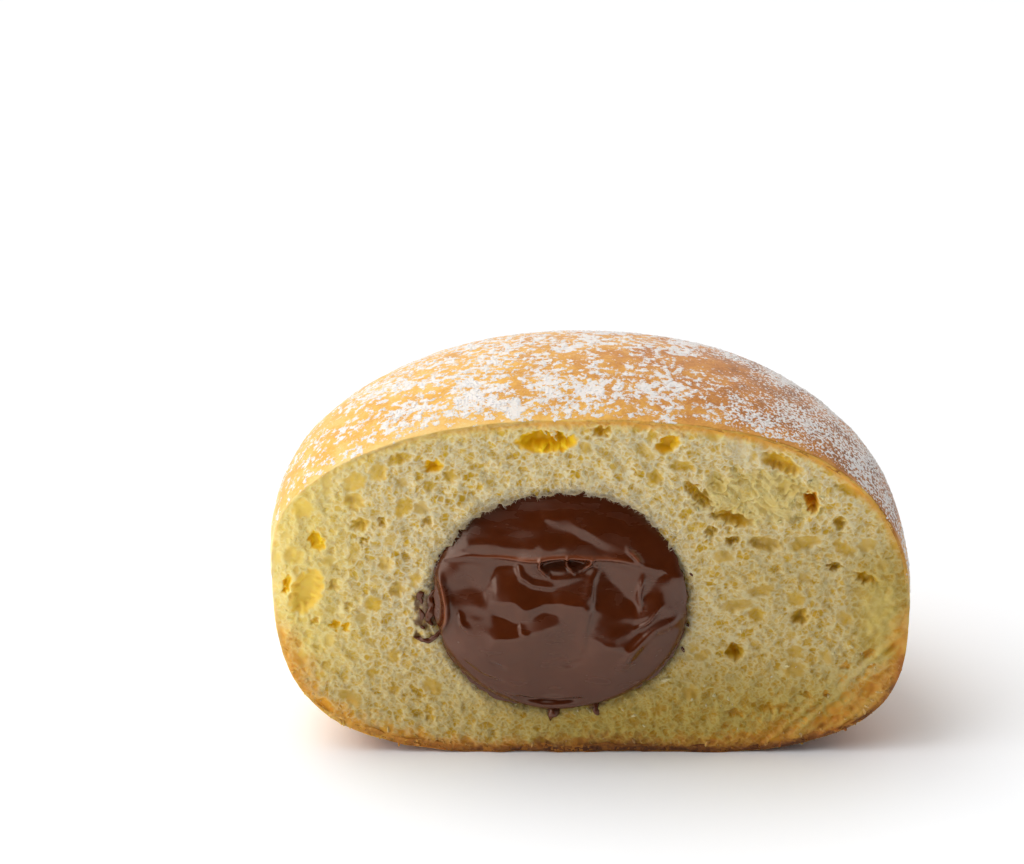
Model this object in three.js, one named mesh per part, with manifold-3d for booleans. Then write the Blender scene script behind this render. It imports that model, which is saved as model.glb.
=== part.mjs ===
// Half of a filled doughnut: a soft, domed bun that a knife has cut open, and the chocolate hazelnut cream
// inside it.
// Millimetres, +Z up. The origin is the point of the flat base below the crown of the whole bun.
// The cut faces -Y, and X runs across it.
import * as THREE from "three";
import { mergeVertices } from "three/addons/utils/BufferGeometryUtils.js";
import Module from "manifold-3d";

const wasm = await Module();
wasm.setup();

// The whole bun. Its upright section is two half superellipses that meet at the belt, its widest ring.
const DIAMETER = 90;
const BELT_HEIGHT = 25.6;
const DOME_RISE = 29.4;
const DOME_POWER = 2.39;
const BASE_POWER = 3.4;
const BASE_SKIM = 0.5; // how far the round of the base would reach below the flat that it rests on
const BELT_TILT = 0.071; // the belt runs downhill towards +X by this slope
const TILT_SPREAD = 18; // and the slope fades out at this height above and below it

// The crease that runs round under the belt, and the gentle lumps of a bun that rose by itself.
const CREASE_HEIGHT = 17;
const CREASE_HALF_WIDTH = 2.4;
const CREASE_DEPTH = 1.0;
const CREASE_START = 14; // behind the cut, which pulled the crease flat
const LUMP_HEIGHT = 0.3;

// The knife cut in front of the crown, and pressed the dome down along the cut.
const CUT_OFFSET = 7;
const PRESS_SHARE = 0.132;
const PRESS_REACH = 11.2;
const FACE_WAVE = 0.35; // the cut crumb isn't quite flat

// The cream, an egg that the cut has opened. Its front swells out below a lip, and is sunk above it.
const CREAM_X = -4.3;
const CREAM_Z = 23.8;
const CREAM_HALF_WIDTH = 18;
const CREAM_HALF_HEIGHT = 16.9;
const CREAM_DEPTH = 17;
const CREAM_LOBE = 0.4; // the outline is rounder towards its corners than an ellipse
const CREAM_GAP = 0.3;
const CREAM_SWELL = 3.2;
const CREAM_SINK = 2.4;
const LIP_HEIGHT = 6.3; // above the middle of the cream
const LIP_SAG = 0.008; // per millimetre, so the lip is lower at its ends
const LIP_HALF_WIDTH = 2.2;

// Strokes that the knife left in the cream: a bent line from start by way of bend to end, in millimetres from
// the middle of the cream, with the half-width and the height of its ridge, or the depth of its groove.
const CREAM_STROKES = [
  { start: [-17, 4.6], bend: [-3, 8.6], end: [11.5, 5.4], halfWidth: 1.4, height: 1.0 },
  { start: [-4, 11.6], bend: [6, 12], end: [11.8, 5.6], halfWidth: 1.8, height: 1.5 },
  { start: [-3, 4.4], bend: [1, 2.6], end: [5.2, 4.5], halfWidth: 1.5, height: -1.8 },
  { start: [-6, 5.2], bend: [-5, 2], end: [-0.8, 1.9], halfWidth: 1.2, height: 0.8 },
  { start: [5, 5], bend: [2.5, -1], end: [2.6, -8.6], halfWidth: 1.4, height: 0.8 },
  { start: [5.5, 2.5], bend: [8.5, -1.5], end: [8, -5.5], halfWidth: 3.2, height: -1.0 },
  { start: [8.4, -8.6], bend: [15, -6], end: [16, -0.5], halfWidth: 1.6, height: 0.9 },
  { start: [-17, 4], bend: [-14.5, -1], end: [-16, -5.5], halfWidth: 1.4, height: 0.9 },
];

// Pockets that show in the cut crumb: the middle, width, height and depth of each of the large ones, and the
// range of the width of the many small ones.
const LARGE_POCKETS = [
  { x: -6.3, z: 47.6, width: 8.4, height: 3.8, depth: 3.6 },
  { x: 10.4, z: 47.2, width: 3.4, height: 2.6, depth: 2.4 },
  { x: -21.9, z: 43.8, width: 2.8, height: 2.4, depth: 2 },
  { x: -38.4, z: 33.0, width: 2.4, height: 3.6, depth: 2.4 },
  { x: -32.5, z: 35.4, width: 2.8, height: 2.6, depth: 2 },
  { x: 22.8, z: 39.0, width: 18, height: 8.5, depth: 2.4 },
  { x: 23.9, z: 32.0, width: 5.2, height: 2.4, depth: 2 },
  { x: 34.4, z: 35.4, width: 2.4, height: 2.6, depth: 2 },
  { x: 29.3, z: 21.2, width: 3.0, height: 3.4, depth: 2.2 },
  { x: 20.3, z: 15.5, width: 2.8, height: 3.2, depth: 2.4 },
  { x: 38.4, z: 26.8, width: 3.4, height: 2.0, depth: 2 },
];
const SMALL_POCKETS = 28;
const SMALL_POCKET_WIDTH = [1.3, 2.3];
const POCKET_WALL = 1.2; // crumb between a small pocket and the next pocket, the crust or the cream
const POCKET_SEED = 20;

// How finely the round forms are divided.
const AROUND = 90;
const SKIN_RINGS = 19;
const SKIN_SPACING = 1.25; // over 1, the rings are closer together towards the cut
const FACE_RINGS = 4;
const CAVITY_RINGS = 8;
const CREAM_FRONT_RINGS = 15;
const BISECTIONS = 40;

const HEART = new THREE.Vector3(CREAM_X, -CUT_OFFSET, CREAM_Z);
const UPRIGHT_TURN = Math.PI / 2;

const smoothstep = THREE.MathUtils.smoothstep;
const bell = (distance, halfWidth) => Math.exp(-((distance / halfWidth) ** 2));

// Repeatable random numbers from 0 to 1.
function seededRandom(seed) {
  let state = seed;
  return () => {
    state = (state * 1664525 + 1013904223) % 2 ** 32;
    return state / 2 ** 32;
  };
}

// Less than 1 inside the bun as it was before the cut, and 1 on its skin.
function fullness(point) {
  const rise = point.z - BELT_HEIGHT;
  const power = rise > 0 ? DOME_POWER : BASE_POWER;
  const reach = rise > 0 ? DOME_RISE : BELT_HEIGHT + BASE_SKIM;
  return (Math.hypot(point.x, point.y) / (DIAMETER / 2)) ** power + (Math.abs(rise) / reach) ** power;
}

// How far the skin stands in from the plain form: the crease under the belt, and the lumps.
function skinRelief(point) {
  const azimuth = Math.atan2(point.y, point.x);
  const wander = 1.6 * Math.sin(2 * azimuth + 0.7) + 0.8 * Math.sin(5 * azimuth);
  const strength = 0.65 + 0.35 * Math.sin(3 * azimuth + 1.9);
  const depth = CREASE_DEPTH * strength * smoothstep(point.y + CUT_OFFSET, 0, CREASE_START);
  const crease = depth * bell(point.z - CREASE_HEIGHT - wander, CREASE_HALF_WIDTH);
  const lumps = Math.sin(point.x / 7 + 1.1) * Math.sin(point.y / 8 + 0.4) * Math.sin(point.z / 6);
  return crease - LUMP_HEIGHT * lumps * smoothstep(point.z, 2, 10);
}

// Where the cut, the tilt of the belt and the bun's own weight leave a point of the skin.
function pressed(point) {
  const rise = point.z - BELT_HEIGHT;
  const press = PRESS_SHARE * Math.exp(-(point.y + CUT_OFFSET) / PRESS_REACH);
  const tilt = BELT_TILT * point.x * bell(rise, TILT_SPREAD);
  const height = point.z - Math.max(rise, 0) * press - tilt;
  return new THREE.Vector3(point.x, point.y, Math.max(height, 0));
}

// The skin, seen from the heart of the cut. The turn goes round the cut from +X to +Z, and the lift goes from
// the cut into the bun.
function skinPoint(turn, lift) {
  const across = Math.cos(lift);
  const direction = new THREE.Vector3(Math.cos(turn) * across, Math.sin(lift), Math.sin(turn) * across);
  const along = (distance) => HEART.clone().addScaledVector(direction, distance);
  let inside = 0;
  let outside = DIAMETER;
  for (let step = 0; step < BISECTIONS; step++) {
    const middle = (inside + outside) / 2;
    if (fullness(along(middle)) < 1) inside = middle;
    else outside = middle;
  }
  return pressed(along(inside - skinRelief(along(inside))));
}

// The outline of the cream in the cut, as a distance from the heart.
function creamRadius(turn) {
  const ellipse = 1 / Math.hypot(Math.cos(turn) / CREAM_HALF_WIDTH, Math.sin(turn) / CREAM_HALF_HEIGHT);
  return ellipse + CREAM_LOBE * Math.cos(4 * turn + 2.35);
}

// How far a bent stroke raises the cream at a place, fading towards its two ends.
function strokeHeight(stroke, x, z) {
  const line = new THREE.QuadraticBezierCurve(
    new THREE.Vector2(...stroke.start),
    new THREE.Vector2(...stroke.bend),
    new THREE.Vector2(...stroke.end),
  );
  const place = new THREE.Vector2(x, z);
  const steps = 16;
  let highest = 0;
  for (let step = 0; step <= steps; step++) {
    const fade = Math.sin((Math.PI * (step + 1)) / (steps + 2)) ** 0.5;
    const distance = line.getPoint(step / steps).distanceTo(place);
    highest = Math.max(highest, fade * bell(distance, stroke.halfWidth));
  }
  return stroke.height * highest;
}

// How far the front of the cream stands out of the cut, from the middle of the cream.
function creamFront(x, z) {
  const share = Math.min(1, Math.hypot(x / CREAM_HALF_WIDTH, z / CREAM_HALF_HEIGHT));
  const lip = LIP_HEIGHT - LIP_SAG * x * x;
  const sunk = CREAM_SINK * smoothstep(z - lip, -LIP_HALF_WIDTH, LIP_HALF_WIDTH);
  const strokes = CREAM_STROKES.reduce((sum, stroke) => sum + strokeHeight(stroke, x, z), 0);
  return (CREAM_SWELL + strokes) * Math.sqrt(1 - share * share) - sunk;
}

// The crumb's own waviness over the cut, nothing at its two edges.
function faceWave(x, z, share) {
  return FACE_WAVE * Math.sin(x / 5 + 0.5) * Math.cos(z / 4.2) * Math.sin(Math.PI * share);
}

// One ring of points, at even turns round the heart.
function ring(pointAt) {
  return Array.from({ length: AROUND }, (_, index) => pointAt((2 * Math.PI * index) / AROUND));
}

// A point of the egg that the cream fills, at a depth behind the cut, with its wall moved in by a margin.
function eggPoint(turn, depth, margin) {
  const share = Math.sqrt(Math.max(0, 1 - (Math.max(depth, 0) / (CREAM_DEPTH - margin)) ** 2));
  const radius = (creamRadius(turn) - margin) * share;
  const y = depth - CUT_OFFSET;
  return new THREE.Vector3(CREAM_X + radius * Math.cos(turn), y, CREAM_Z + radius * Math.sin(turn));
}

// A closed surface through a first point, rings of equal count, and a last point.
function closedSurface(first, rings, last) {
  const positions = [first, ...rings.flat(), last].flatMap((point) => point.toArray());
  const triangles = [];
  const end = positions.length / 3 - 1;
  const at = (row, column) => 1 + row * AROUND + (column % AROUND);
  for (let column = 0; column < AROUND; column++) {
    triangles.push(0, at(0, column), at(0, column + 1));
    for (let row = 0; row + 1 < rings.length; row++) {
      triangles.push(at(row, column), at(row + 1, column), at(row + 1, column + 1));
      triangles.push(at(row, column), at(row + 1, column + 1), at(row, column + 1));
    }
    triangles.push(at(rings.length - 1, column), end, at(rings.length - 1, column + 1));
  }
  const geometry = new THREE.BufferGeometry();
  geometry.setAttribute("position", new THREE.Float32BufferAttribute(positions, 3));
  geometry.setIndex(triangles);
  return geometry;
}

// A closed surface as a solid that can be cut.
function toSolid(geometry) {
  const bare = geometry.clone();
  bare.deleteAttribute("normal");
  bare.deleteAttribute("uv");
  const merged = mergeVertices(bare);
  return new wasm.Manifold(
    new wasm.Mesh({
      numProp: 3,
      vertProperties: new Float32Array(merged.attributes.position.array),
      triVerts: new Uint32Array(merged.index.array),
    }),
  );
}

// A solid as a surface with smooth normals.
function toGeometry(solid) {
  const mesh = solid.getMesh();
  const geometry = new THREE.BufferGeometry();
  geometry.setAttribute("position", new THREE.Float32BufferAttribute(mesh.vertProperties, 3));
  geometry.setIndex(new THREE.BufferAttribute(mesh.triVerts, 1));
  geometry.computeVertexNormals();
  return geometry;
}

// The bun with its cut face and the egg-shaped cavity, before any pocket is cut. Cavity, face and skin are one
// run of rings from the far point of the cavity to the far point of the skin.
function plainDough() {
  const cavity = Array.from({ length: CAVITY_RINGS }, (_, row) => {
    const depth = CREAM_DEPTH * Math.cos((UPRIGHT_TURN * (row + 1)) / CAVITY_RINGS);
    return ring((turn) => eggPoint(turn, depth, 0));
  });
  const skin = Array.from({ length: SKIN_RINGS }, (_, row) => {
    const lift = UPRIGHT_TURN * (row / SKIN_RINGS) ** SKIN_SPACING;
    return ring((turn) => skinPoint(turn, lift));
  });
  const rim = cavity[CAVITY_RINGS - 1];
  const edge = skin[0];
  const face = Array.from({ length: FACE_RINGS }, (_, row) => {
    const share = (row + 1) / (FACE_RINGS + 1);
    return rim.map((inner, column) => {
      const point = inner.clone().lerp(edge[column], share);
      point.y += faceWave(point.x, point.z, share);
      return point;
    });
  });
  const farCavity = eggPoint(0, CREAM_DEPTH, 0);
  return closedSurface(farCavity, [...cavity, ...face, ...skin], skinPoint(0, UPRIGHT_TURN));
}

// Whether a small pocket leaves its wall of crumb to the crust, the cream and the pockets already there.
function pocketFits(pocket, others) {
  const turn = Math.atan2(pocket.z - CREAM_Z, pocket.x - CREAM_X);
  const fromHeart = Math.hypot(pocket.x - CREAM_X, pocket.z - CREAM_Z);
  const edge = skinPoint(turn, 0).distanceTo(HEART);
  const room = pocket.width / 2 + POCKET_WALL;
  const apart = others.every((other) => {
    const across = (pocket.x - other.x) / (other.width / 2 + room);
    const upright = (pocket.z - other.z) / (other.height / 2 + room);
    return Math.hypot(across, upright) > 1;
  });
  return apart && fromHeart < edge - room && fromHeart > creamRadius(turn) + room;
}

// The large pockets, and small ones scattered over the rest of the cut.
function allPockets() {
  const random = seededRandom(POCKET_SEED);
  const between = (low, high) => low + (high - low) * random();
  const pockets = [...LARGE_POCKETS];
  while (pockets.length < LARGE_POCKETS.length + SMALL_POCKETS) {
    const width = between(...SMALL_POCKET_WIDTH);
    const pocket = {
      x: between(-DIAMETER / 2, DIAMETER / 2),
      z: between(0, BELT_HEIGHT + DOME_RISE),
      width,
      height: width * between(0.7, 1.1),
      depth: width * between(0.5, 0.8),
    };
    if (pocketFits(pocket, pockets)) pockets.push(pocket);
  }
  return pockets;
}

// What a pocket takes out of the crumb.
function pocketSolid(pocket) {
  const large = pocket.width > SMALL_POCKET_WIDTH[1];
  const geometry = new THREE.SphereGeometry(1, large ? 12 : 8, large ? 8 : 6);
  geometry.scale(pocket.width / 2, pocket.depth, pocket.height / 2);
  geometry.translate(pocket.x, -CUT_OFFSET, pocket.z);
  return toSolid(geometry);
}

// The dough: crust and crumb are one piece of baked dough.
function makeDough() {
  let solid = toSolid(plainDough());
  for (const pocket of allPockets()) solid = solid.subtract(pocketSolid(pocket));
  const material = new THREE.MeshStandardMaterial({ color: 0xd2a45a, roughness: 0.75, metalness: 0 });
  const mesh = new THREE.Mesh(toGeometry(solid), material);
  mesh.name = "dough";
  return mesh;
}

// The cream: a front that the knife smeared, and the egg behind it that fills the cavity.
function makeCream() {
  const rimDepth = (turn) => {
    const radius = creamRadius(turn) - CREAM_GAP;
    return -creamFront(radius * Math.cos(turn), radius * Math.sin(turn));
  };
  const rim = ring((turn) => eggPoint(turn, rimDepth(turn), CREAM_GAP));
  const front = Array.from({ length: CREAM_FRONT_RINGS }, (_, row) =>
    rim.map((edge) => {
      const share = (row + 1) / (CREAM_FRONT_RINGS + 1);
      const x = (edge.x - CREAM_X) * share;
      const z = (edge.z - CREAM_Z) * share;
      return new THREE.Vector3(CREAM_X + x, -CUT_OFFSET - creamFront(x, z), CREAM_Z + z);
    }),
  );
  const far = CREAM_DEPTH - CREAM_GAP;
  const back = Array.from({ length: CAVITY_RINGS - 1 }, (_, row) => {
    const share = Math.sin((UPRIGHT_TURN * (row + 1)) / CAVITY_RINGS);
    return ring((turn) => eggPoint(turn, THREE.MathUtils.lerp(rimDepth(turn), far, share), CREAM_GAP));
  });
  const nearest = new THREE.Vector3(CREAM_X, -CUT_OFFSET - creamFront(0, 0), CREAM_Z);
  const geometry = closedSurface(nearest, [...front, rim, ...back], eggPoint(0, far, CREAM_GAP));
  geometry.computeVertexNormals();
  const material = new THREE.MeshStandardMaterial({ color: 0x4a2414, roughness: 0.25, metalness: 0 });
  const mesh = new THREE.Mesh(geometry, material);
  mesh.name = "cream";
  return mesh;
}

const doughnutHalf = new THREE.Group();
doughnutHalf.add(makeDough(), makeCream());

export default doughnutHalf;
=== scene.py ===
"""Half of a sugar-dusted doughnut with a chocolate hazelnut cream filling, on a plain pale stage.

One operator makes the crust, one the crumb with its strands and flakes, one the cream with its smears, one
the sugar and one the stage. Settings are in metres. Other lengths in the code are millimetres, and become
metres where a mesh is made.
"""

import math

import bpy
import numpy as np
from bpy.props import FloatProperty, FloatVectorProperty, IntProperty, PointerProperty
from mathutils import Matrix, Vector


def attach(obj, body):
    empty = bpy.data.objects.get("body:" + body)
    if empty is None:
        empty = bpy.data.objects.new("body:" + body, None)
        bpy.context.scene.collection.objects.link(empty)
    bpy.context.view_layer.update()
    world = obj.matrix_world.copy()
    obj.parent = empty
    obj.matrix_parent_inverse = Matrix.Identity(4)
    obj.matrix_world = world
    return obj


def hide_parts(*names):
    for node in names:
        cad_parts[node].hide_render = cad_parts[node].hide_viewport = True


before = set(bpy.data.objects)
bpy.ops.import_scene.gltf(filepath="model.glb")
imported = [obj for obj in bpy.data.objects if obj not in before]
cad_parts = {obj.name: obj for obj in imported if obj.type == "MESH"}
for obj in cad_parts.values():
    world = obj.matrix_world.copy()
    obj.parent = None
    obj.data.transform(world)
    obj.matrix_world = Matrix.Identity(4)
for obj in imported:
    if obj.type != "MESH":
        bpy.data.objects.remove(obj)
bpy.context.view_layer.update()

bl_info = {
    "name": "Filled doughnut half",
    "version": (1, 0, 0),
    "blender": (4, 5, 0),
    "location": "View3D > Sidebar > Doughnut",
    "description": "Makes a cut, sugar-dusted doughnut with a chocolate hazelnut cream filling",
    "category": "Object",
}

MM = 0.001
FULL_TURN = 2 * math.pi
QUARTER_TURN = math.pi / 2
BODY = "root"

# The form of the bun, the same as the solids have.
DIAMETER = 90.0
BELT_HEIGHT = 25.6
DOME_RISE = 29.4
DOME_POWER = 2.39
BASE_POWER = 3.4
BASE_SKIM = 0.5
BELT_TILT = 0.071
TILT_SPREAD = 18.0
CREASE_HEIGHT = 17.0
CREASE_HALF_WIDTH = 2.4
CREASE_DEPTH = 1.0
CREASE_START = 14.0
LUMP_HEIGHT = 0.3
CUT_OFFSET = 7.0
PRESS_SHARE = 0.132
PRESS_REACH = 11.2
FACE_WAVE = 0.35
CREAM_X = -4.3
CREAM_Z = 23.8
CREAM_HALF_WIDTH = 18.0
CREAM_HALF_HEIGHT = 16.9
CREAM_DEPTH = 17.0
CREAM_LOBE = 0.4
HEART = np.array([CREAM_X, -CUT_OFFSET, CREAM_Z])
BISECTIONS = 40
NOISE_CELLS = 32


def srgb(red, green, blue):
    """A colour of three numbers up to 255, as the linear numbers that a shader takes."""
    shares = [value / 255 for value in (red, green, blue)]
    return tuple(v / 12.92 if v <= 0.04045 else ((v + 0.055) / 1.055) ** 2.4 for v in shares)


def smoothstep(value, low, high):
    """Goes smoothly from 0 at low to 1 at high."""
    share = np.clip((value - low) / (high - low), 0.0, 1.0)
    return share * share * (3.0 - 2.0 * share)


def bell(distance, half_width):
    """1 at no distance, and next to nothing at twice the half-width."""
    return np.exp(-((distance / half_width) ** 2))


def noise(x, y, z, size, seed):
    """Smooth random values from -1 to 1 that change over the given size."""
    table = np.random.default_rng(seed).uniform(-1.0, 1.0, (NOISE_CELLS,) * 3).astype(np.float32)
    cells, shares = [], []
    for value in (x, y, z):
        place = np.asarray(value, np.float32) / size
        cell = np.floor(place)
        share = place - cell
        cells.append(cell.astype(np.int32))
        shares.append(share * share * (3.0 - 2.0 * share))
    total = 0.0
    for corner in range(8):
        weight, index = 1.0, []
        for axis in range(3):
            upper = corner >> axis & 1
            weight = weight * (shares[axis] if upper else 1.0 - shares[axis])
            index.append((cells[axis] + upper) % NOISE_CELLS)
        total = total + weight * table[tuple(np.broadcast_arrays(*index))]
    return total


def noise_at(points, size, seed):
    """The same for an array of points."""
    return noise(points[..., 0], points[..., 1], points[..., 2], size, seed)


# The form of the bun


def fullness(x, y, z):
    """Less than 1 inside the bun as it was before the cut, and 1 on its skin."""
    rise = z - BELT_HEIGHT
    curve = np.where(rise > 0, DOME_POWER, BASE_POWER)
    reach = np.where(rise > 0, DOME_RISE, BELT_HEIGHT + BASE_SKIM)
    return (np.hypot(x, y) / (DIAMETER / 2)) ** curve + (np.abs(rise) / reach) ** curve


def skin_relief(x, y, z):
    """How far the skin stands in from the plain form: the crease under the belt, and the lumps."""
    azimuth = np.arctan2(y, x)
    wander = 1.6 * np.sin(2 * azimuth + 0.7) + 0.8 * np.sin(5 * azimuth)
    strength = 0.65 + 0.35 * np.sin(3 * azimuth + 1.9)
    depth = CREASE_DEPTH * strength * smoothstep(y + CUT_OFFSET, 0, CREASE_START)
    crease = depth * bell(z - CREASE_HEIGHT - wander, CREASE_HALF_WIDTH)
    lumps = np.sin(x / 7 + 1.1) * np.sin(y / 8 + 0.4) * np.sin(z / 6)
    return crease - LUMP_HEIGHT * lumps * smoothstep(z, 2, 10)


def sink(x, y, z):
    """How far the cut and the tilt of the belt lower a point of the bun as it was."""
    rise = z - BELT_HEIGHT
    press = PRESS_SHARE * np.exp(-(y + CUT_OFFSET) / PRESS_REACH)
    return np.maximum(rise, 0) * press + BELT_TILT * x * bell(rise, TILT_SPREAD)


def height_before(x, y, z):
    """The height that a point had before the cut pressed it down."""
    height = z
    for _ in range(6):
        height = z + sink(x, y, height)
    return height


def skin_points(turn, lift):
    """The skin, seen from the heart of the cut: turn goes round the cut, and lift goes into the bun."""
    across = np.cos(lift)
    way = np.stack([np.cos(turn) * across, np.sin(lift), np.sin(turn) * across], axis=-1)
    inside, outside = np.zeros(turn.shape), np.full(turn.shape, DIAMETER)
    for _ in range(BISECTIONS):
        middle = (inside + outside) / 2
        point = HEART + way * middle[..., None]
        full = fullness(*np.moveaxis(point, -1, 0)) < 1
        inside, outside = np.where(full, middle, inside), np.where(full, outside, middle)
    point = HEART + way * inside[..., None]
    inside = inside - skin_relief(*np.moveaxis(point, -1, 0))
    point = HEART + way * inside[..., None]
    point[..., 2] = np.maximum(point[..., 2] - sink(*np.moveaxis(point, -1, 0)), 0)
    return point


def cream_radius(turn):
    """The outline of the cream in the cut, as a distance from the heart."""
    ellipse = 1 / np.hypot(np.cos(turn) / CREAM_HALF_WIDTH, np.sin(turn) / CREAM_HALF_HEIGHT)
    return ellipse + CREAM_LOBE * np.cos(4 * turn + 2.35)


# Meshes and lines


def set_values(mesh, values):
    """Gives a mesh its named values, one for each point."""
    for key, data in values.items():
        layer = mesh.attributes.new(key, "FLOAT", "POINT")
        layer.data.foreach_set("value", np.ascontiguousarray(data, np.float32))


def make_piece(name, points, faces, material, values=None):
    """A smooth mesh object from points in millimetres, blocks of faces of equal corners, and values."""
    mesh = bpy.data.meshes.new(name)
    corners = np.concatenate([np.asarray(block, np.int32).ravel() for block in faces])
    counts = np.concatenate([np.full(len(block), np.shape(block)[1], np.int32) for block in faces])
    mesh.vertices.add(len(points))
    mesh.vertices.foreach_set("co", np.ascontiguousarray(points * MM, np.float32).ravel())
    mesh.loops.add(len(corners))
    mesh.loops.foreach_set("vertex_index", corners)
    mesh.polygons.add(len(counts))
    mesh.polygons.foreach_set("loop_start", np.concatenate([[0], np.cumsum(counts)[:-1]]).astype(np.int32))
    mesh.update(calc_edges=True)
    mesh.shade_smooth()
    set_values(mesh, values or {})
    mesh.materials.append(material)
    piece = bpy.data.objects.new(name, mesh)
    bpy.context.scene.collection.objects.link(piece)
    return piece


def make_plain(piece):
    """Turns a piece and its modifiers into a plain mesh."""
    graph = bpy.context.evaluated_depsgraph_get()
    mesh = bpy.data.meshes.new_from_object(piece.evaluated_get(graph))
    piece.modifiers.clear()
    before = piece.data
    piece.data = mesh
    if not before.users:
        bpy.data.meshes.remove(before)
    mesh.name = piece.name


def ring_faces(rows, around):
    """The faces of a surface that runs from a first point over rings of equal count to a last point."""
    column = np.arange(around)
    after = (column + 1) % around
    row = 1 + around * np.arange(rows)[:, None]
    quads = np.stack([row[:-1] + column, row[1:] + column, row[1:] + after, row[:-1] + after], axis=-1)
    end = 1 + rows * around
    first = np.stack([np.zeros_like(column), 1 + column, 1 + after], axis=-1)
    last = np.stack([end - around + column, np.full_like(column, end), end - around + after], axis=-1)
    return [quads.reshape(-1, 4), first, last]


def grid_normals(points):
    """Outward normals of rings of points round the heart."""
    round_way = np.roll(points, -1, axis=1) - np.roll(points, 1, axis=1)
    in_way = np.gradient(points, axis=0)
    normal = np.cross(round_way, in_way)
    normal *= np.sign(np.sum(normal * (points - HEART), axis=-1, keepdims=True))
    return normal / np.maximum(np.linalg.norm(normal, axis=-1, keepdims=True), 1e-9)


def relaxed(line, rounds):
    """A line with its corners rounded off, between ends that stay."""
    for _ in range(rounds):
        line[1:-1] = 0.5 * line[1:-1] + 0.25 * (line[2:] + line[:-2])
    return line


def soft_line(points, steps, rounds):
    """A line in even steps through points, with its corners rounded off."""
    points = np.array(points)
    share = np.linspace(0, len(points) - 1, steps)
    line = np.stack([np.interp(share, np.arange(len(points)), values) for values in points.T], axis=1)
    return relaxed(line, rounds)


# Settings


def length(name, description, default):
    """A size in metres."""
    return FloatProperty(name=name, description=description, default=default, unit="LENGTH", precision=5)


def colour(name, description, default):
    """A colour in linear numbers."""
    return FloatVectorProperty(name=name, description=description, default=default, subtype="COLOR")


def density(name, description, default):
    """How many scattered things lie on a square metre."""
    return FloatProperty(name=name, description=description, default=default, min=0.0)


def power(name, description, default):
    """The power of a lamp in watts."""
    return FloatProperty(name=name, description=description, default=default, unit="POWER")


class CrustSettings(bpy.types.PropertyGroup):
    """Sizes and colours of the fried skin"""

    thickness: length("Thickness", "Thickness of the skin above the belt", 0.0004)
    base_thickness: length("Base thickness", "Thickness of the harder skin that the bun rests on", 0.0011)
    belt: colour("Belt", "Colour of the pale belt, which the oil didn't reach", srgb(240, 217, 152))
    gold: colour("Gold", "Colour of the lightly fried skin", srgb(226, 170, 70))
    brown: colour("Brown", "Colour of the well fried skin", srgb(184, 115, 36))
    dark: colour("Dark", "Colour of the darkest spots, on the base", srgb(96, 48, 8))


class CrumbSettings(bpy.types.PropertyGroup):
    """Cells and colours of the cut crumb"""

    largest_cell: length("Largest cell", "Radius of the largest scattered cells", 0.00145)
    smallest_cell: length("Smallest cell", "Radius of the smallest scattered cells", 0.00026)
    seed: IntProperty(name="Seed", description="Another number scatters the cells in another way", default=7)
    fibres: density("Fibres", "Torn strands on a square metre of fully frayed crumb", 2.0e7)
    fibre_length: length("Fibre length", "Length of a long strand", 0.0008)
    flakes: density("Flakes", "Loose flakes on a square metre of crumb at the base", 1.6e6)
    flake_size: length("Flake size", "Radius of a large flake", 0.0005)
    wall: colour("Cell walls", "Colour of the walls that face the light", srgb(223, 209, 168))
    # The cell depth colour is painted shade: the hollows of the cells are drawn darker and yellower than the
    # walls.
    depth: colour("Cell depths", "Colour of the bottom of the cells", srgb(211, 170, 26))
    # The pocket colour is laid on more strongly near the skin and at the left end, as painted light.
    pocket: colour("Pockets", "Colour of the smooth walls of the large pockets", srgb(252, 206, 24))
    # The yolk tint is partly denser crumb and partly painted shade: it darkens the crumb low in the bun and
    # towards the right.
    yolk: colour("Yolk", "Tint of the denser crumb low in the bun", (0.69, 0.60, 0.23))
    # The glow colour is painted light: light that seems to shine through the thin crumb at the left end and
    # along the upper rim, and a little on the torn patch and the calm right end.
    painted_glow: colour("Glow", "Colour of the moist crumb behind the pale belt", srgb(245, 220, 118))
    honey: colour("Honey", "Colour of the crumb that the hot oil reached", srgb(232, 158, 22))
    stain: colour("Stain", "Colour of the crumb that the cream has stained", srgb(96, 52, 26))


class CreamSettings(bpy.types.PropertyGroup):
    """Form and colours of the filling"""

    swell: length("Swell", "How far the filling stands out of the cut below its lip", 0.0032)
    sink: length("Sink", "How far the filling steps back above its lip", 0.0024)
    chocolate: colour("Chocolate", "Colour of the filling", srgb(77, 30, 7))
    crest: colour("Crest", "Colour of thin edges that let light through", srgb(116, 58, 30))
    roughness: FloatProperty(
        name="Roughness",
        description="Roughness of the filling's surface",
        default=0.16,
        subtype="FACTOR",
        min=0.0,
        max=1.0,
    )


class SugarSettings(bpy.types.PropertyGroup):
    """Powdered sugar on the crust"""

    clumps: density("Clumps", "Clumps on a square metre of fully covered crust", 4.0e6)
    clump_size: length("Clump size", "Radius of a large clump", 0.00022)
    grains: density("Grains", "Single grains on a square metre of fully covered crust", 8.0e6)
    grain_size: length("Grain size", "Radius of a large grain", 0.00013)
    seed: IntProperty(name="Seed", description="Another number scatters the sugar in another way", default=3)
    white: colour("White", "Colour of the sugar", (0.81, 0.78, 0.755))


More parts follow.
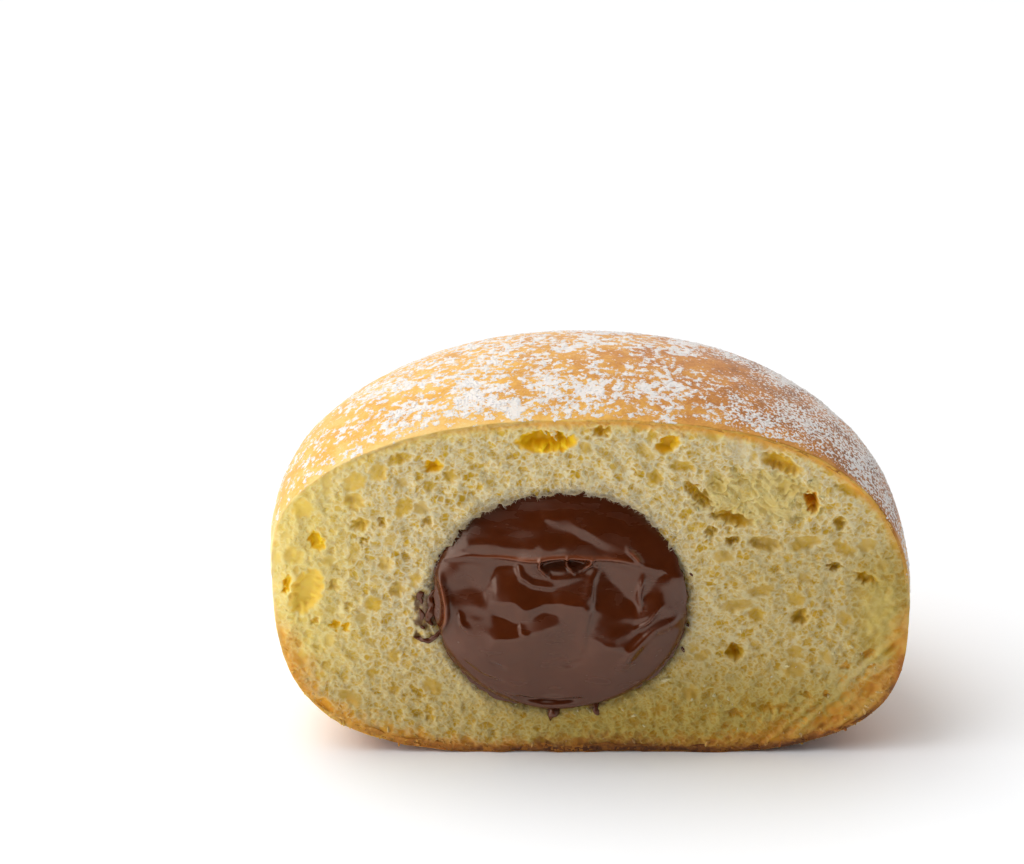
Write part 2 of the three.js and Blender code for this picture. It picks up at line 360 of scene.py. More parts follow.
class StageSettings(bpy.types.PropertyGroup):
    """Camera, floor and light"""

    elevation: FloatProperty(
        name="Elevation",
        description="How far above the horizon the camera stands",
        default=math.radians(22.86),
        subtype="ANGLE",
    )
    distance: length("Distance", "From the camera to the foot of the cut", 0.65)
    lens: FloatProperty(name="Lens", description="Focal length of the camera", default=161.2, unit="CAMERA")
    floor: colour("Floor", "Colour of the floor", (0.93, 0.94, 0.96))
    key: FloatProperty(name="Key light", description="Strength of the soft sun at the left", default=1.6)
    fill: power("Fill light", "Power of the small light left of the cut", 0.41)
    top: power("Top light", "Power of the light above the cut", 0.6)


# Materials


def new_material(name):
    """A material with a Principled shader: its tree, and the shader node."""
    material = bpy.data.materials.new(name)
    material.use_nodes = True
    tree = material.node_tree
    shader = next(node for node in tree.nodes if node.type == "BSDF_PRINCIPLED")
    return material, tree, shader


def give(tree, node, inputs):
    """Puts values or links on the named or numbered inputs of a node."""
    for key, value in inputs.items():
        if isinstance(value, bpy.types.NodeSocket):
            tree.links.new(value, node.inputs[key])
        else:
            node.inputs[key].default_value = value


def add_node(tree, kind, inputs=None, **settings):
    """A node with its settings, and with values or links on its inputs."""
    node = tree.nodes.new(kind)
    for key, value in settings.items():
        setattr(node, key, value)
    give(tree, node, inputs or {})
    return node


def place_on(tree):
    """Where a point lies on its piece."""
    return add_node(tree, "ShaderNodeTexCoord").outputs["Object"]


def cloud(tree, place, scale, detail=2.0, roughness=0.5):
    """Soft random values over a place, about 0.5."""
    inputs = {"Vector": place, "Scale": scale, "Detail": detail, "Roughness": roughness}
    return add_node(tree, "ShaderNodeTexNoise", inputs).outputs["Fac"]


def attribute(tree, name):
    """The value that a piece has at each point."""
    return add_node(tree, "ShaderNodeAttribute", attribute_name=name).outputs["Fac"]


def maths(tree, operation, first, second=0.0, clamp=False):
    """The sum, product or other outcome of two values."""
    node = add_node(tree, "ShaderNodeMath", {0: first, 1: second}, operation=operation, use_clamp=clamp)
    return node.outputs[0]


def vector_maths(tree, operation, first, second):
    """The sum or product of two vectors, or a vector scaled by a number."""
    key = "Scale" if operation == "SCALE" else 1
    return add_node(tree, "ShaderNodeVectorMath", {0: first, key: second}, operation=operation).outputs[0]


def mapped(tree, value, from_low, from_high, to_low=0.0, to_high=1.0, way="SMOOTHSTEP"):
    """A value moved from one range to another, smoothly if no other way is given."""
    inputs = {"Value": value, "From Min": from_low, "From Max": from_high}
    inputs |= {"To Min": to_low, "To Max": to_high}
    return add_node(tree, "ShaderNodeMapRange", inputs, interpolation_type=way).outputs["Result"]


def mixed(tree, share, first, second):
    """One colour blended into another."""
    both = [value if isinstance(value, bpy.types.NodeSocket) else (*value, 1.0) for value in (first, second)]
    inputs = {"Factor": share, 6: both[0], 7: both[1]}
    return add_node(tree, "ShaderNodeMix", inputs, data_type="RGBA").outputs[2]


def grain_group():
    """Fine unevenness of fried dough, for crust and crumb: a broad value and a finer one, both about 0.5."""
    name = "dough grain"
    if name in bpy.data.node_groups:
        return bpy.data.node_groups[name]
    group = bpy.data.node_groups.new(name, "ShaderNodeTree")
    for socket, side in (("Size", "INPUT"), ("Mottle", "OUTPUT"), ("Grain", "OUTPUT")):
        group.interface.new_socket(socket, in_out=side, socket_type="NodeSocketFloat")
    size = add_node(group, "NodeGroupInput").outputs["Size"]
    place = place_on(group)
    scale = maths(group, "DIVIDE", 1.0, size)
    fine = maths(group, "MULTIPLY", scale, 7.3)
    values = {"Mottle": cloud(group, place, scale, 3.0), "Grain": cloud(group, place, fine)}
    add_node(group, "NodeGroupOutput", values)
    return group


def add_grain(tree, size):
    """The mottle and the grain of fried dough in a material, at a size in millimetres."""
    node = add_node(tree, "ShaderNodeGroup", {"Size": size * MM}, node_tree=grain_group())
    return node.outputs["Mottle"], node.outputs["Grain"]


def ramp(tree, value, stops):
    """A colour that follows a value through stops of place and colour."""
    node = add_node(tree, "ShaderNodeValToRGB", {"Fac": value})
    elements = node.color_ramp.elements
    while len(elements) < len(stops):
        elements.new(1.0)
    for element, (place, shade) in zip(elements, stops):
        element.position = place
        element.color = (*shade, 1.0)
    return node.outputs["Color"]


def bump(tree, height, strength, distance):
    """The normal of fine relief, from a height between 0 and 1 and a distance in millimetres."""
    inputs = {"Height": height, "Strength": strength, "Distance": distance * MM}
    return add_node(tree, "ShaderNodeBump", inputs).outputs["Normal"]


def soft(weight, radius, reach):
    """The inputs that let light spread in a material, with a reach in millimetres."""
    return {"Subsurface Weight": weight, "Subsurface Radius": radius, "Subsurface Scale": reach * MM}


def powder(tree, place, cover, even):
    """How thickly powdered sugar lies at a place, from 0 to 1: in ragged drifts, or in even specks."""
    drifts = cloud(tree, place, 900.0, 5.0, 0.68)
    specks = cloud(tree, place, 2300.0, 2.0, 0.6)
    spread = maths(tree, "SUBTRACT", specks, drifts)
    amount = maths(tree, "ADD", drifts, maths(tree, "MULTIPLY", spread, even))
    amount = maths(tree, "ADD", amount, maths(tree, "MULTIPLY", cover, 0.3))
    thick = mapped(tree, amount, 0.64, 0.72)
    return maths(tree, "MULTIPLY", thick, mapped(tree, cover, 0.0, 0.12))


def fried_colour(tree, baked, settings):
    """The colour of fried dough, from the pale belt to the darkest spots."""
    stops = [(0.0, settings.belt), (0.42, settings.gold), (0.74, settings.brown), (1.0, settings.dark)]
    return ramp(tree, baked, stops)


def crust_material(settings, sugar):
    """Fried skin, pale at the belt and brown on the dome and the base, with a dust of sugar."""
    material, tree, shader = new_material("fried crust")
    mottle, grain = add_grain(tree, 3.0)
    # The baked value is mostly the frying, and partly painted light: paler on the left and close to the cut.
    baked = maths(tree, "ADD", attribute(tree, "baked"), mapped(tree, mottle, 0.25, 0.75, -0.09, 0.09))
    baked = maths(tree, "ADD", baked, mapped(tree, grain, 0.3, 0.7, -0.05, 0.05))
    dust = powder(tree, place_on(tree), attribute(tree, "sugar"), attribute(tree, "even"))
    hidden = maths(tree, "MULTIPLY", dust, 0.9)
    relief = maths(tree, "ADD", maths(tree, "MULTIPLY", grain, 0.5), maths(tree, "MULTIPLY", dust, 0.8))
    look = {
        "Base Color": mixed(tree, hidden, fried_colour(tree, baked, settings), sugar.white),
        "Roughness": mapped(tree, dust, 0.0, 1.0, 0.46, 0.9),
        "Specular IOR Level": 0.35,
        "Normal": bump(tree, relief, 0.5, 0.15),
    }
    give(tree, shader, look | soft(0.2, (1.0, 0.75, 0.45), 0.8))
    return material


def crumb_web(tree):
    """The finest net of the crumb: 1 on its threads, and 0 in its meshes."""
    place = place_on(tree)
    waves = add_node(tree, "ShaderNodeTexNoise", {"Vector": place, "Scale": 900.0, "Detail": 2.0})
    shift = vector_maths(tree, "SCALE", waves.outputs["Color"], 0.9 * MM)
    inputs = {"Vector": vector_maths(tree, "ADD", place, shift), "Scale": 1250.0}
    net = add_node(tree, "ShaderNodeTexVoronoi", inputs, feature="DISTANCE_TO_EDGE")
    return mapped(tree, net.outputs["Distance"], 0.0, 0.2, 1.0, 0.0)


def crumb_material(settings, crust):
    """Soft open crumb: light walls and darker yellow cell hollows as painted shade, a tint low in the bun and
    to the right that is partly denser crumb and partly painted shade, a painted glow at the left end and the
    upper rim, and fried beside the crust.
    """
    material, tree, shader = new_material("open crumb")
    mottle, grain = add_grain(tree, 2.0)
    web = crumb_web(tree)
    rough = maths(tree, "SUBTRACT", 1.0, attribute(tree, "smooth"), clamp=True)
    fine = maths(tree, "MULTIPLY", maths(tree, "SUBTRACT", 0.45, web), rough)
    # deep mixes in the cell depth colour, painted shade in the cell hollows; the fine web adds to it, lighter
    # on its threads and darker in its meshes.
    deep = maths(tree, "ADD", attribute(tree, "deep"), maths(tree, "MULTIPLY", fine, 0.5), clamp=True)
    # The yolk tint: partly denser crumb, partly painted shade low in the bun and to the right.
    tint = mixed(tree, attribute(tree, "yolk"), (1.0, 1.0, 1.0), settings.yolk)
    shade = vector_maths(tree, "MULTIPLY", mixed(tree, deep, settings.wall, settings.depth), tint)
    baked = maths(tree, "ADD", attribute(tree, "baked"), mapped(tree, mottle, 0.25, 0.75, -0.12, 0.12))
    layers = {
        # The belt layer here is the painted glow, not the crust's belt.
        "belt": settings.painted_glow,
        "pocket": settings.pocket,
        "honey": settings.honey,
        "browned": fried_colour(tree, baked, crust),
        "stain": settings.stain,
    }
    for name, layer in layers.items():
        shade = mixed(tree, attribute(tree, name), shade, layer)
    relief = maths(tree, "ADD", maths(tree, "MULTIPLY", grain, 0.4), maths(tree, "MULTIPLY", web, rough))
    look = {
        "Base Color": shade,
        "Roughness": 0.55,
        "Specular IOR Level": 0.4,
        "Normal": bump(tree, relief, 0.2, 0.12),
    }
    give(tree, shader, look | soft(0.9, (1.0, 0.85, 0.55), 0.8))
    return material


def cream_material(settings):
    """Glossy chocolate hazelnut cream, lighter where an edge is thin."""
    material, tree, shader = new_material("chocolate hazelnut cream")
    place = place_on(tree)
    pale = mapped(tree, cloud(tree, place, 260.0, 3.0), 0.3, 0.8, -0.02, 0.12)
    crest = maths(tree, "ADD", attribute(tree, "crest"), pale, clamp=True)
    dull = cloud(tree, vector_maths(tree, "MULTIPLY", place, (0.4, 1.0, 1.0)), 420.0, 3.0)
    look = {
        "Base Color": mixed(tree, crest, settings.chocolate, settings.crest),
        "Roughness": mapped(tree, dull, 0.42, 0.72, settings.roughness - 0.03, settings.roughness + 0.2),
        "Specular IOR Level": 0.75,
        "Specular Tint": (1.0, 0.82, 0.69, 1.0),
        "Normal": bump(tree, cloud(tree, place, 900.0), 0.12, 0.08),
    }
    give(tree, shader, look | soft(0.15, (1.0, 0.35, 0.15), 0.8))
    return material


def sugar_material(settings):
    """Powdered sugar: white, dull and a little translucent."""
    material, tree, shader = new_material("powdered sugar")
    shade = mapped(tree, cloud(tree, place_on(tree), 5000.0), 0.2, 0.8)
    tint = tuple(value * 0.93 for value in settings.white)
    look = {
        "Base Color": mixed(tree, shade, tint, settings.white),
        "Roughness": 0.9,
        "Specular IOR Level": 0.2,
    }
    give(tree, shader, look | soft(0.3, (1.0, 0.9, 0.8), 0.3))
    return material


# The rim of the cut, where crust and crumb meet


def rim_height(x, z):
    """How far the uneven rim of the cut stands out."""
    return 0.18 * noise(x, 0, z, 2.6, 16)


def rim_rounding(turn):
    """How far the soft rim is rounded back, at the left end of the belt and a little at the right end."""
    left = bell(np.mod(turn, FULL_TURN) - 3.1, 0.5)
    right = bell(np.mod(turn + math.pi, FULL_TURN) - math.pi - 0.02, 0.2)
    return 0.9 * left + 0.6 * right


# The crust

CRUST_AROUND = 460
CRUST_ROWS = 128
INNER_STEP = 8


def baked_and_lit(point):
    """How dark the skin is coloured, from 0 on the belt to 1 in the darkest spots: mostly how far it is
    fried, and partly painted light, as it is kept paler on the left and close to the cut.
    """
    x, y, z = np.moveaxis(point, -1, 0)
    height = height_before(x, y, z) - BELT_HEIGHT
    patches = 0.5 * noise_at(point, 9.0, 21) + 0.3 * noise_at(point, 4.0, 22)
    # Browner towards the right: partly the frying, and partly painted light and shade, paler on the left side
    # and the lower left, which face the lamp.
    right = smoothstep(x + 0.25 * y, -25, 42)
    dome = smoothstep(height + 4.0 * patches, 0.0, 12.0) * (0.36 + 0.46 * right + 0.12 * patches)
    under = smoothstep(-height + 3.0 * patches, 4.0, 11.0) * (0.37 + 0.19 * right)
    base = smoothstep(-height + 2.0 * patches, 20.0 - 2.5 * right, 25.5) * 0.36
    # Paler close to the cut: partly the paler band of crust there, and partly painted light on the shaded
    # rim.
    edge = 0.14 * np.exp(-np.maximum(y + CUT_OFFSET, 0) / 2.0) * smoothstep(z, 4, 10)
    return np.clip(0.06 + dome + under + base - edge, 0, 1)


def sugar_cover(point):
    """How thickly the sugar lies, from 0 to 1: in drifts on the dome, and not close to the cut."""
    x, y, z = np.moveaxis(point, -1, 0)
    height = height_before(x, y, z) - BELT_HEIGHT
    dome = smoothstep(height + 4.0 * smoothstep(x, 8, 32) + 3.0 * noise_at(point, 5.0, 31), 3.0, 12.0)
    cover = 0.56 + 0.14 * noise_at(point, 9.0, 32) + 0.3 * noise_at(point, 3.4, 33)
    cover *= 0.65 + 0.35 * smoothstep(x, -42, -20)
    clear = smoothstep(y + CUT_OFFSET + 1.2 * noise_at(point, 1.8, 36), -0.2, 1.2)
    return np.clip(cover, 0, 1) * dome * clear


def crust_thickness(point, settings):
    """How thick the skin is: thin on the dome, and thicker and uneven on the base."""
    low = smoothstep(point[..., 2], 8.0, 1.5)
    thick = settings.thickness / MM + (settings.base_thickness - settings.thickness) / MM * low
    return thick * (1 + 0.3 * noise_at(point, 2.4, 17))


def make_crust(settings, sugar):
    """The fried skin as a double-walled shell that is open at the cut, with a rough rim there."""
    turns = FULL_TURN * np.arange(CRUST_AROUND) / CRUST_AROUND
    lifts = QUARTER_TURN * (np.arange(CRUST_ROWS) / CRUST_ROWS) ** 1.15
    outer = skin_points(*np.meshgrid(turns, lifts))
    normal = grid_normals(outer)
    depth = outer[..., 1] + CUT_OFFSET
    low = smoothstep(outer[..., 2], 7.0, 1.5)
    belt = bell(height_before(*np.moveaxis(outer, -1, 0)) - BELT_HEIGHT + 3.0, 9.0)
    relief = 0.10 * noise_at(outer, 4.0, 11) + 0.05 * noise_at(outer, 1.5, 12)
    relief += low * (0.22 * noise_at(outer, 2.2, 13) + 0.12 * noise_at(outer, 1.1, 14))
    stretched = outer * np.array([0.35, 0.35, 1.0])
    relief += belt * 0.10 * noise_at(stretched, 1.1, 15)
    outer = outer + normal * relief[..., None]
    outer[..., 1] -= np.exp(-depth / 1.2) * rim_height(outer[..., 0], outer[..., 2])
    outer[..., 1] += np.exp(-depth / 2.5) * rim_rounding(turns)
    outer[..., 2] = np.maximum(outer[..., 2], 0)
    thick = crust_thickness(outer, settings)
    flat = normal * np.stack([np.ones_like(depth), smoothstep(depth, 0, 5), np.ones_like(depth)], -1)
    flat /= np.linalg.norm(flat, axis=-1, keepdims=True)
    lip = outer[0] - flat[0] * 0.75 * thick[0][:, None]
    lip[:, 1] += 0.06
    wall = (outer - flat * thick[..., None])[::INNER_STEP]
    far = outer[-1].mean(axis=0)
    near = wall[-1].mean(axis=0)
    rings = np.concatenate([outer[::-1], lip[None], wall])
    points = np.concatenate([far[None], rings.reshape(-1, 3), near[None]])
    inner = np.arange(len(points)) > 1 + CRUST_ROWS * CRUST_AROUND
    cover = np.where(inner, 0, sugar_cover(points))
    values = {"baked": baked_and_lit(points), "sugar": cover, "even": smoothstep(points[:, 0], 8, 30)}
    faces = ring_faces(len(rings), CRUST_AROUND)
    faces = [block[:, ::-1] for block in faces]
    return make_piece("crust", points, faces, crust_material(settings, sugar), values)


# The crumb

MAP_STEP = 0.1
MAP_LOW = (-47.0, -1.0)
MAP_SHAPE = (940, 560)
MAP_X = MAP_LOW[0] + MAP_STEP * np.arange(MAP_SHAPE[0])[:, None]
MAP_Z = MAP_LOW[1] + MAP_STEP * np.arange(MAP_SHAPE[1])[None]
CRUMB_AROUND = 1600
CRUMB_ROWS = 180
CRUMB_DEPTH = 5.6
CRUMB_TRIANGLES = 196000
# In how many steps the outline of the cut is worked out, and then walked round.
SKIN_STEPS = 1440
LOOP_STEPS = 4000
# The scattered cells: how many sizes, how many of the largest, and how fast the count grows below that.
CELL_SIZES = 13
LARGEST_CELLS = 36
CELL_POWER = 3.6

# Large pockets: the middle, the width, height and depth, how far the long side leans, and how open they are.
POCKETS = [
    (-6.3, 47.8, 8.6, 3.6, 2.5, 0.0, 1.0),
    (10.4, 47.4, 3.8, 2.7, 1.5, 0.5, 0.93),
    (1.4, 49.3, 2.6, 1.7, 1.2, 0.0, 0.9),
    (-21.9, 44.1, 2.8, 2.1, 1.4, 0.2, 1.0),
    (-38.3, 32.8, 2.3, 3.4, 1.0, 0.4, 1.0),
    (-32.2, 35.3, 2.7, 2.4, 0.9, 0.0, 0.8),
    (-32.9, 38.8, 3.2, 2.8, 0.6, 0.0, 0.3),
    (-29.0, 35.7, 1.3, 1.7, 0.6, 0.0, 0.7),
    (-31.5, 32.8, 1.5, 1.5, 0.7, 0.0, 0.8),
    (-39.7, 25.2, 4.6, 7.6, 0.9, -0.4, 0.3),
    (-42.5, 26.0, 1.2, 2.8, 0.8, -0.2, 1.0),
    (-35.8, 26.0, 2.0, 2.4, 0.7, 0.0, 0.5),
    (-27.1, 25.2, 2.4, 2.6, 0.7, 0.0, 0.4),
    (-28.7, 29.1, 2.6, 2.6, 0.5, 0.0, 0.25),
    (-25.8, 30.2, 1.4, 1.9, 0.5, 0.3, 0.4),
    (-22.8, 35.8, 1.9, 1.8, 0.6, 0.0, 0.4),
    (-33.7, 22.9, 1.9, 1.4, 0.5, 0.0, 0.4),
    (-35.8, 19.8, 1.3, 1.6, 0.6, 0.2, 1.0),
    (-34.4, 19.4, 1.2, 1.4, 0.6, -0.2, 1.0),
    (-38.7, 20.4, 1.5, 1.2, 0.6, 0.0, 0.9),
    (30.6, 38.5, 2.2, 3.4, 3.6, 0.2, 1.0),
    (14.9, 39.6, 1.8, 6.0, 1.7, 0.75, 0.9),
    (26.2, 44.4, 7.0, 2.8, 1.6, -0.45, 0.5),
    (19.4, 36.0, 6.4, 2.0, 2.0, -0.25, 0.9),
    (16.7, 34.1, 2.2, 1.9, 1.0, 0.0, 0.6),
    (19.6, 32.8, 2.3, 1.5, 1.0, 0.1, 0.7),
    (24.1, 32.4, 5.0, 2.4, 0.9, -0.15, 0.4),
    (34.4, 35.4, 2.0, 2.5, 1.3, 0.3, 0.7),
    (29.3, 21.2, 2.9, 2.8, 1.3, 0.0, 0.7),
    (20.3, 15.6, 2.6, 3.0, 2.0, 0.6, 0.9),
    (38.4, 27.0, 3.6, 1.6, 1.4, -0.5, 0.9),
    (33.9, 28.8, 2.6, 1.3, 1.1, -0.2, 0.8),
    (38.9, 15.5, 2.4, 1.7, 0.4, 0.4, 0.8),
    (35.8, 13.6, 2.4, 1.4, 0.4, 0.5, 0.8),
    (30.4, 9.0, 1.6, 1.2, 0.45, 0.0, 0.8),
    (33.2, 9.2, 1.1, 1.0, 0.4, 0.0, 0.8),
    (26.0, 7.0, 4.6, 1.6, 0.5, 0.15, 0.8),
    (20.5, 6.2, 3.2, 1.3, 0.4, 0.0, 0.75),
]
# The pocket whose wall is amber.
AMBER = (30.6, 38.5)
WALL_REACH = 0.14
# Torn skin that hangs into the pockets: across, the tip, where it is widest, and half its width.
STRANDS = [(21.3, 42.8, 46.5, 2.2), (-4.8, 47.0, 49.6, 0.6), (-6.3, 48.2, 49.6, 0.3), (-3.4, 47.8, 49.2, 0.4)]
TORN_X, TORN_Z, TORN_WIDTH, TORN_HEIGHT = 23.4, 39.4, 17.5, 8.6
TORN_STEP = 2.4
TORN_LEAN = 0.35
# The tongue of crumb that still stands out of the torn patch.
TONGUE_X, TONGUE_Z = 26.0, 38.0
# The moist, even crumb at the right end of the cut.
CALM_X, CALM_Z = 40.5, 21.0


def band_noise(size, seed, stretch=1.0):
    """A map of random waves of about the given length, with a spread of 1, and longer across if stretched."""
    rng = np.random.default_rng(seed)
    across = np.fft.fftfreq(MAP_SHAPE[0], MAP_STEP)[:, None] * size * stretch
    up = np.fft.rfftfreq(MAP_SHAPE[1], MAP_STEP)[None] * size
    band = np.exp(-(((np.hypot(across, up) - 1) / 0.4) ** 2))
    waves = np.fft.irfft2(np.fft.rfft2(rng.standard_normal(MAP_SHAPE)) * band, MAP_SHAPE)
    return waves / waves.std()


def map_at(field, x, z, low=MAP_LOW, step=MAP_STEP):
    """Values of a map at points between its own, blended."""
    across = np.clip((x - low[0]) / step, 0, field.shape[0] - 1.001)
    up = np.clip((z - low[1]) / step, 0, field.shape[1] - 1.001)
    i, j = across.astype(int), up.astype(int)
    a, b = across - i, up - j
    left = (1 - b) * field[i, j] + b * field[i, j + 1]
    right = (1 - b) * field[i + 1, j] + b * field[i + 1, j + 1]
    return (1 - a) * left + a * right


def skin_radius(turn):
    """How far the skin is from the heart in the plane of the cut."""
    turns = FULL_TURN * np.arange(SKIN_STEPS) / SKIN_STEPS
    points = skin_points(turns, np.zeros_like(turns))
    across, up = points[:, 0] - CREAM_X, points[:, 2] - CREAM_Z
    return np.interp(turn, np.arctan2(up, across), np.hypot(across, up), period=FULL_TURN)


def pack_cells(seed, free, growth, sizes, counts):
    """Round cells of all sizes, the large ones first, with thin walls between them. For each spot of the map:
    how far it is from the wall of its cell, and how wide, how deep and how open that cell is."""
    rng = np.random.default_rng(seed)
    nearest, second = np.full(MAP_SHAPE, 1.5), np.full(MAP_SHAPE, 1.5)
    width, depth_of, open_of = np.ones(MAP_SHAPE), np.zeros(MAP_SHAPE), np.zeros(MAP_SHAPE)
    bends = []
    for axis in (1, 2):
        bends.append((0.13 * band_noise(1.2, seed + axis), 0.055 * band_noise(0.6, seed + 3 + axis)))

    def blow(x, z, long, slim, lean, depth, openness):
        """Opens one cell in the maps."""
        reach = max(long, slim) + 0.9
        low = [max(0, int((place - reach - start) / MAP_STEP)) for place, start in zip((x, z), MAP_LOW)]
        high = [int((place + reach - start) / MAP_STEP) + 2 for place, start in zip((x, z), MAP_LOW)]
        part = (slice(low[0], high[0]), slice(low[1], high[1]))
        bend = 1.0 if long < 1.3 else 0.3
        dx = (MAP_X + bends[0][0] + bend * bends[0][1])[part] - x
        dz = (MAP_Z + bends[1][0] + bend * bends[1][1])[part] - z
        along = (dx * math.cos(lean) + dz * math.sin(lean)) / long
        up = (dz * math.cos(lean) - dx * math.sin(lean)) / slim
        away = (np.hypot(along, up) - 1) * min(long, slim)
        before = nearest[part]
        closer = away < before
        second[part] = np.where(closer, before, np.minimum(second[part], away))
        nearest[part] = np.where(closer, away, before)
        for field, value in ((width, min(long, slim)), (depth_of, depth), (open_of, openness)):
            field[part] = np.where(closer, value, field[part])

    for x, z, across, high, depth, lean, openness in POCKETS:
        blow(x, z, across / 2, high / 2, lean, depth, openness)
    spots = np.flatnonzero(free)
    for size, count in zip(sizes, counts):
        picked = np.stack(np.unravel_index(rng.choice(spots, int(count)), MAP_SHAPE), axis=1)
        for (i, j), draw in zip(picked.tolist(), rng.uniform(size=(int(count), 4)).tolist()):
            radius = size * growth[i, j] * (0.85 + 0.3 * draw[0])
            if nearest[i, j] < 0.88 * radius:
                continue
            x, z = MAP_X[i, 0], MAP_Z[0, j]
            stretch = 1 + 0.6 * draw[1] ** 1.6
            lean = (draw[2] - 0.5) * 1.6
            if x < 5 or z < 14:
                lean += math.atan2(z - CREAM_Z, x - CREAM_X) + QUARTER_TURN
            openness = 0.25 + 0.6 * draw[3] ** 2.2
            blow(x, z, radius * stretch, radius / stretch, lean, radius * 0.32 * openness, openness)
    return np.minimum(WALL_REACH - nearest, 0.5 * (second - nearest)), width, depth_of, open_of


def hanging_skin(ragged):
    """A map of the torn skin that hangs into the pockets, from 0 to 1."""
    hanging = 0.0
    for middle, low, high, half in STRANDS:
        breadth = half * smoothstep(MAP_Z, low, high) + 0.05
        beside = np.abs(MAP_X - middle + 0.3 * (MAP_Z - low) + 0.12 * ragged)
        strand = smoothstep(beside, breadth, 0.5 * breadth) * smoothstep(MAP_Z, low, low + 0.4)
        hanging = np.maximum(hanging, strand * smoothstep(MAP_Z, high + 2.5, high + 1.0))
    return hanging


def torn_patch():
    """Maps of the torn patch at the upper right: where it lies, and how far its ledges step back."""
    x, z = MAP_X - TORN_X, MAP_Z - TORN_Z
    away = np.hypot(x / (TORN_WIDTH / 2), z / (TORN_HEIGHT / 2)) + 0.12 * band_noise(3.0, 57)
    layers = (z + TORN_LEAN * x) / TORN_STEP + 0.5 * band_noise(4.0, 58, 1.6) + 0.12 * band_noise(1.2, 59)
    ledges = 0.5 + 0.5 * (layers - np.floor(layers)) ** 1.5 + 0.2 * band_noise(3.5, 70)
    ledges = ledges - 0.5 * bell(np.hypot((MAP_X - TONGUE_X) / 1.5, MAP_Z - TONGUE_Z), 2.2)
    return smoothstep(away, 1.15, 0.75), ledges


def drawn_strands(to_skin):
    """A map of the strands that the knife drew out low on the right, about 0."""
    strands = noise(0.1 * (MAP_X + MAP_Z), 0, 0.42 * (MAP_X - MAP_Z), 0.45, 83)
    return strands * smoothstep(MAP_X, 15, 24) * smoothstep(MAP_Z, 24, 16) * smoothstep(to_skin, 14, 7)


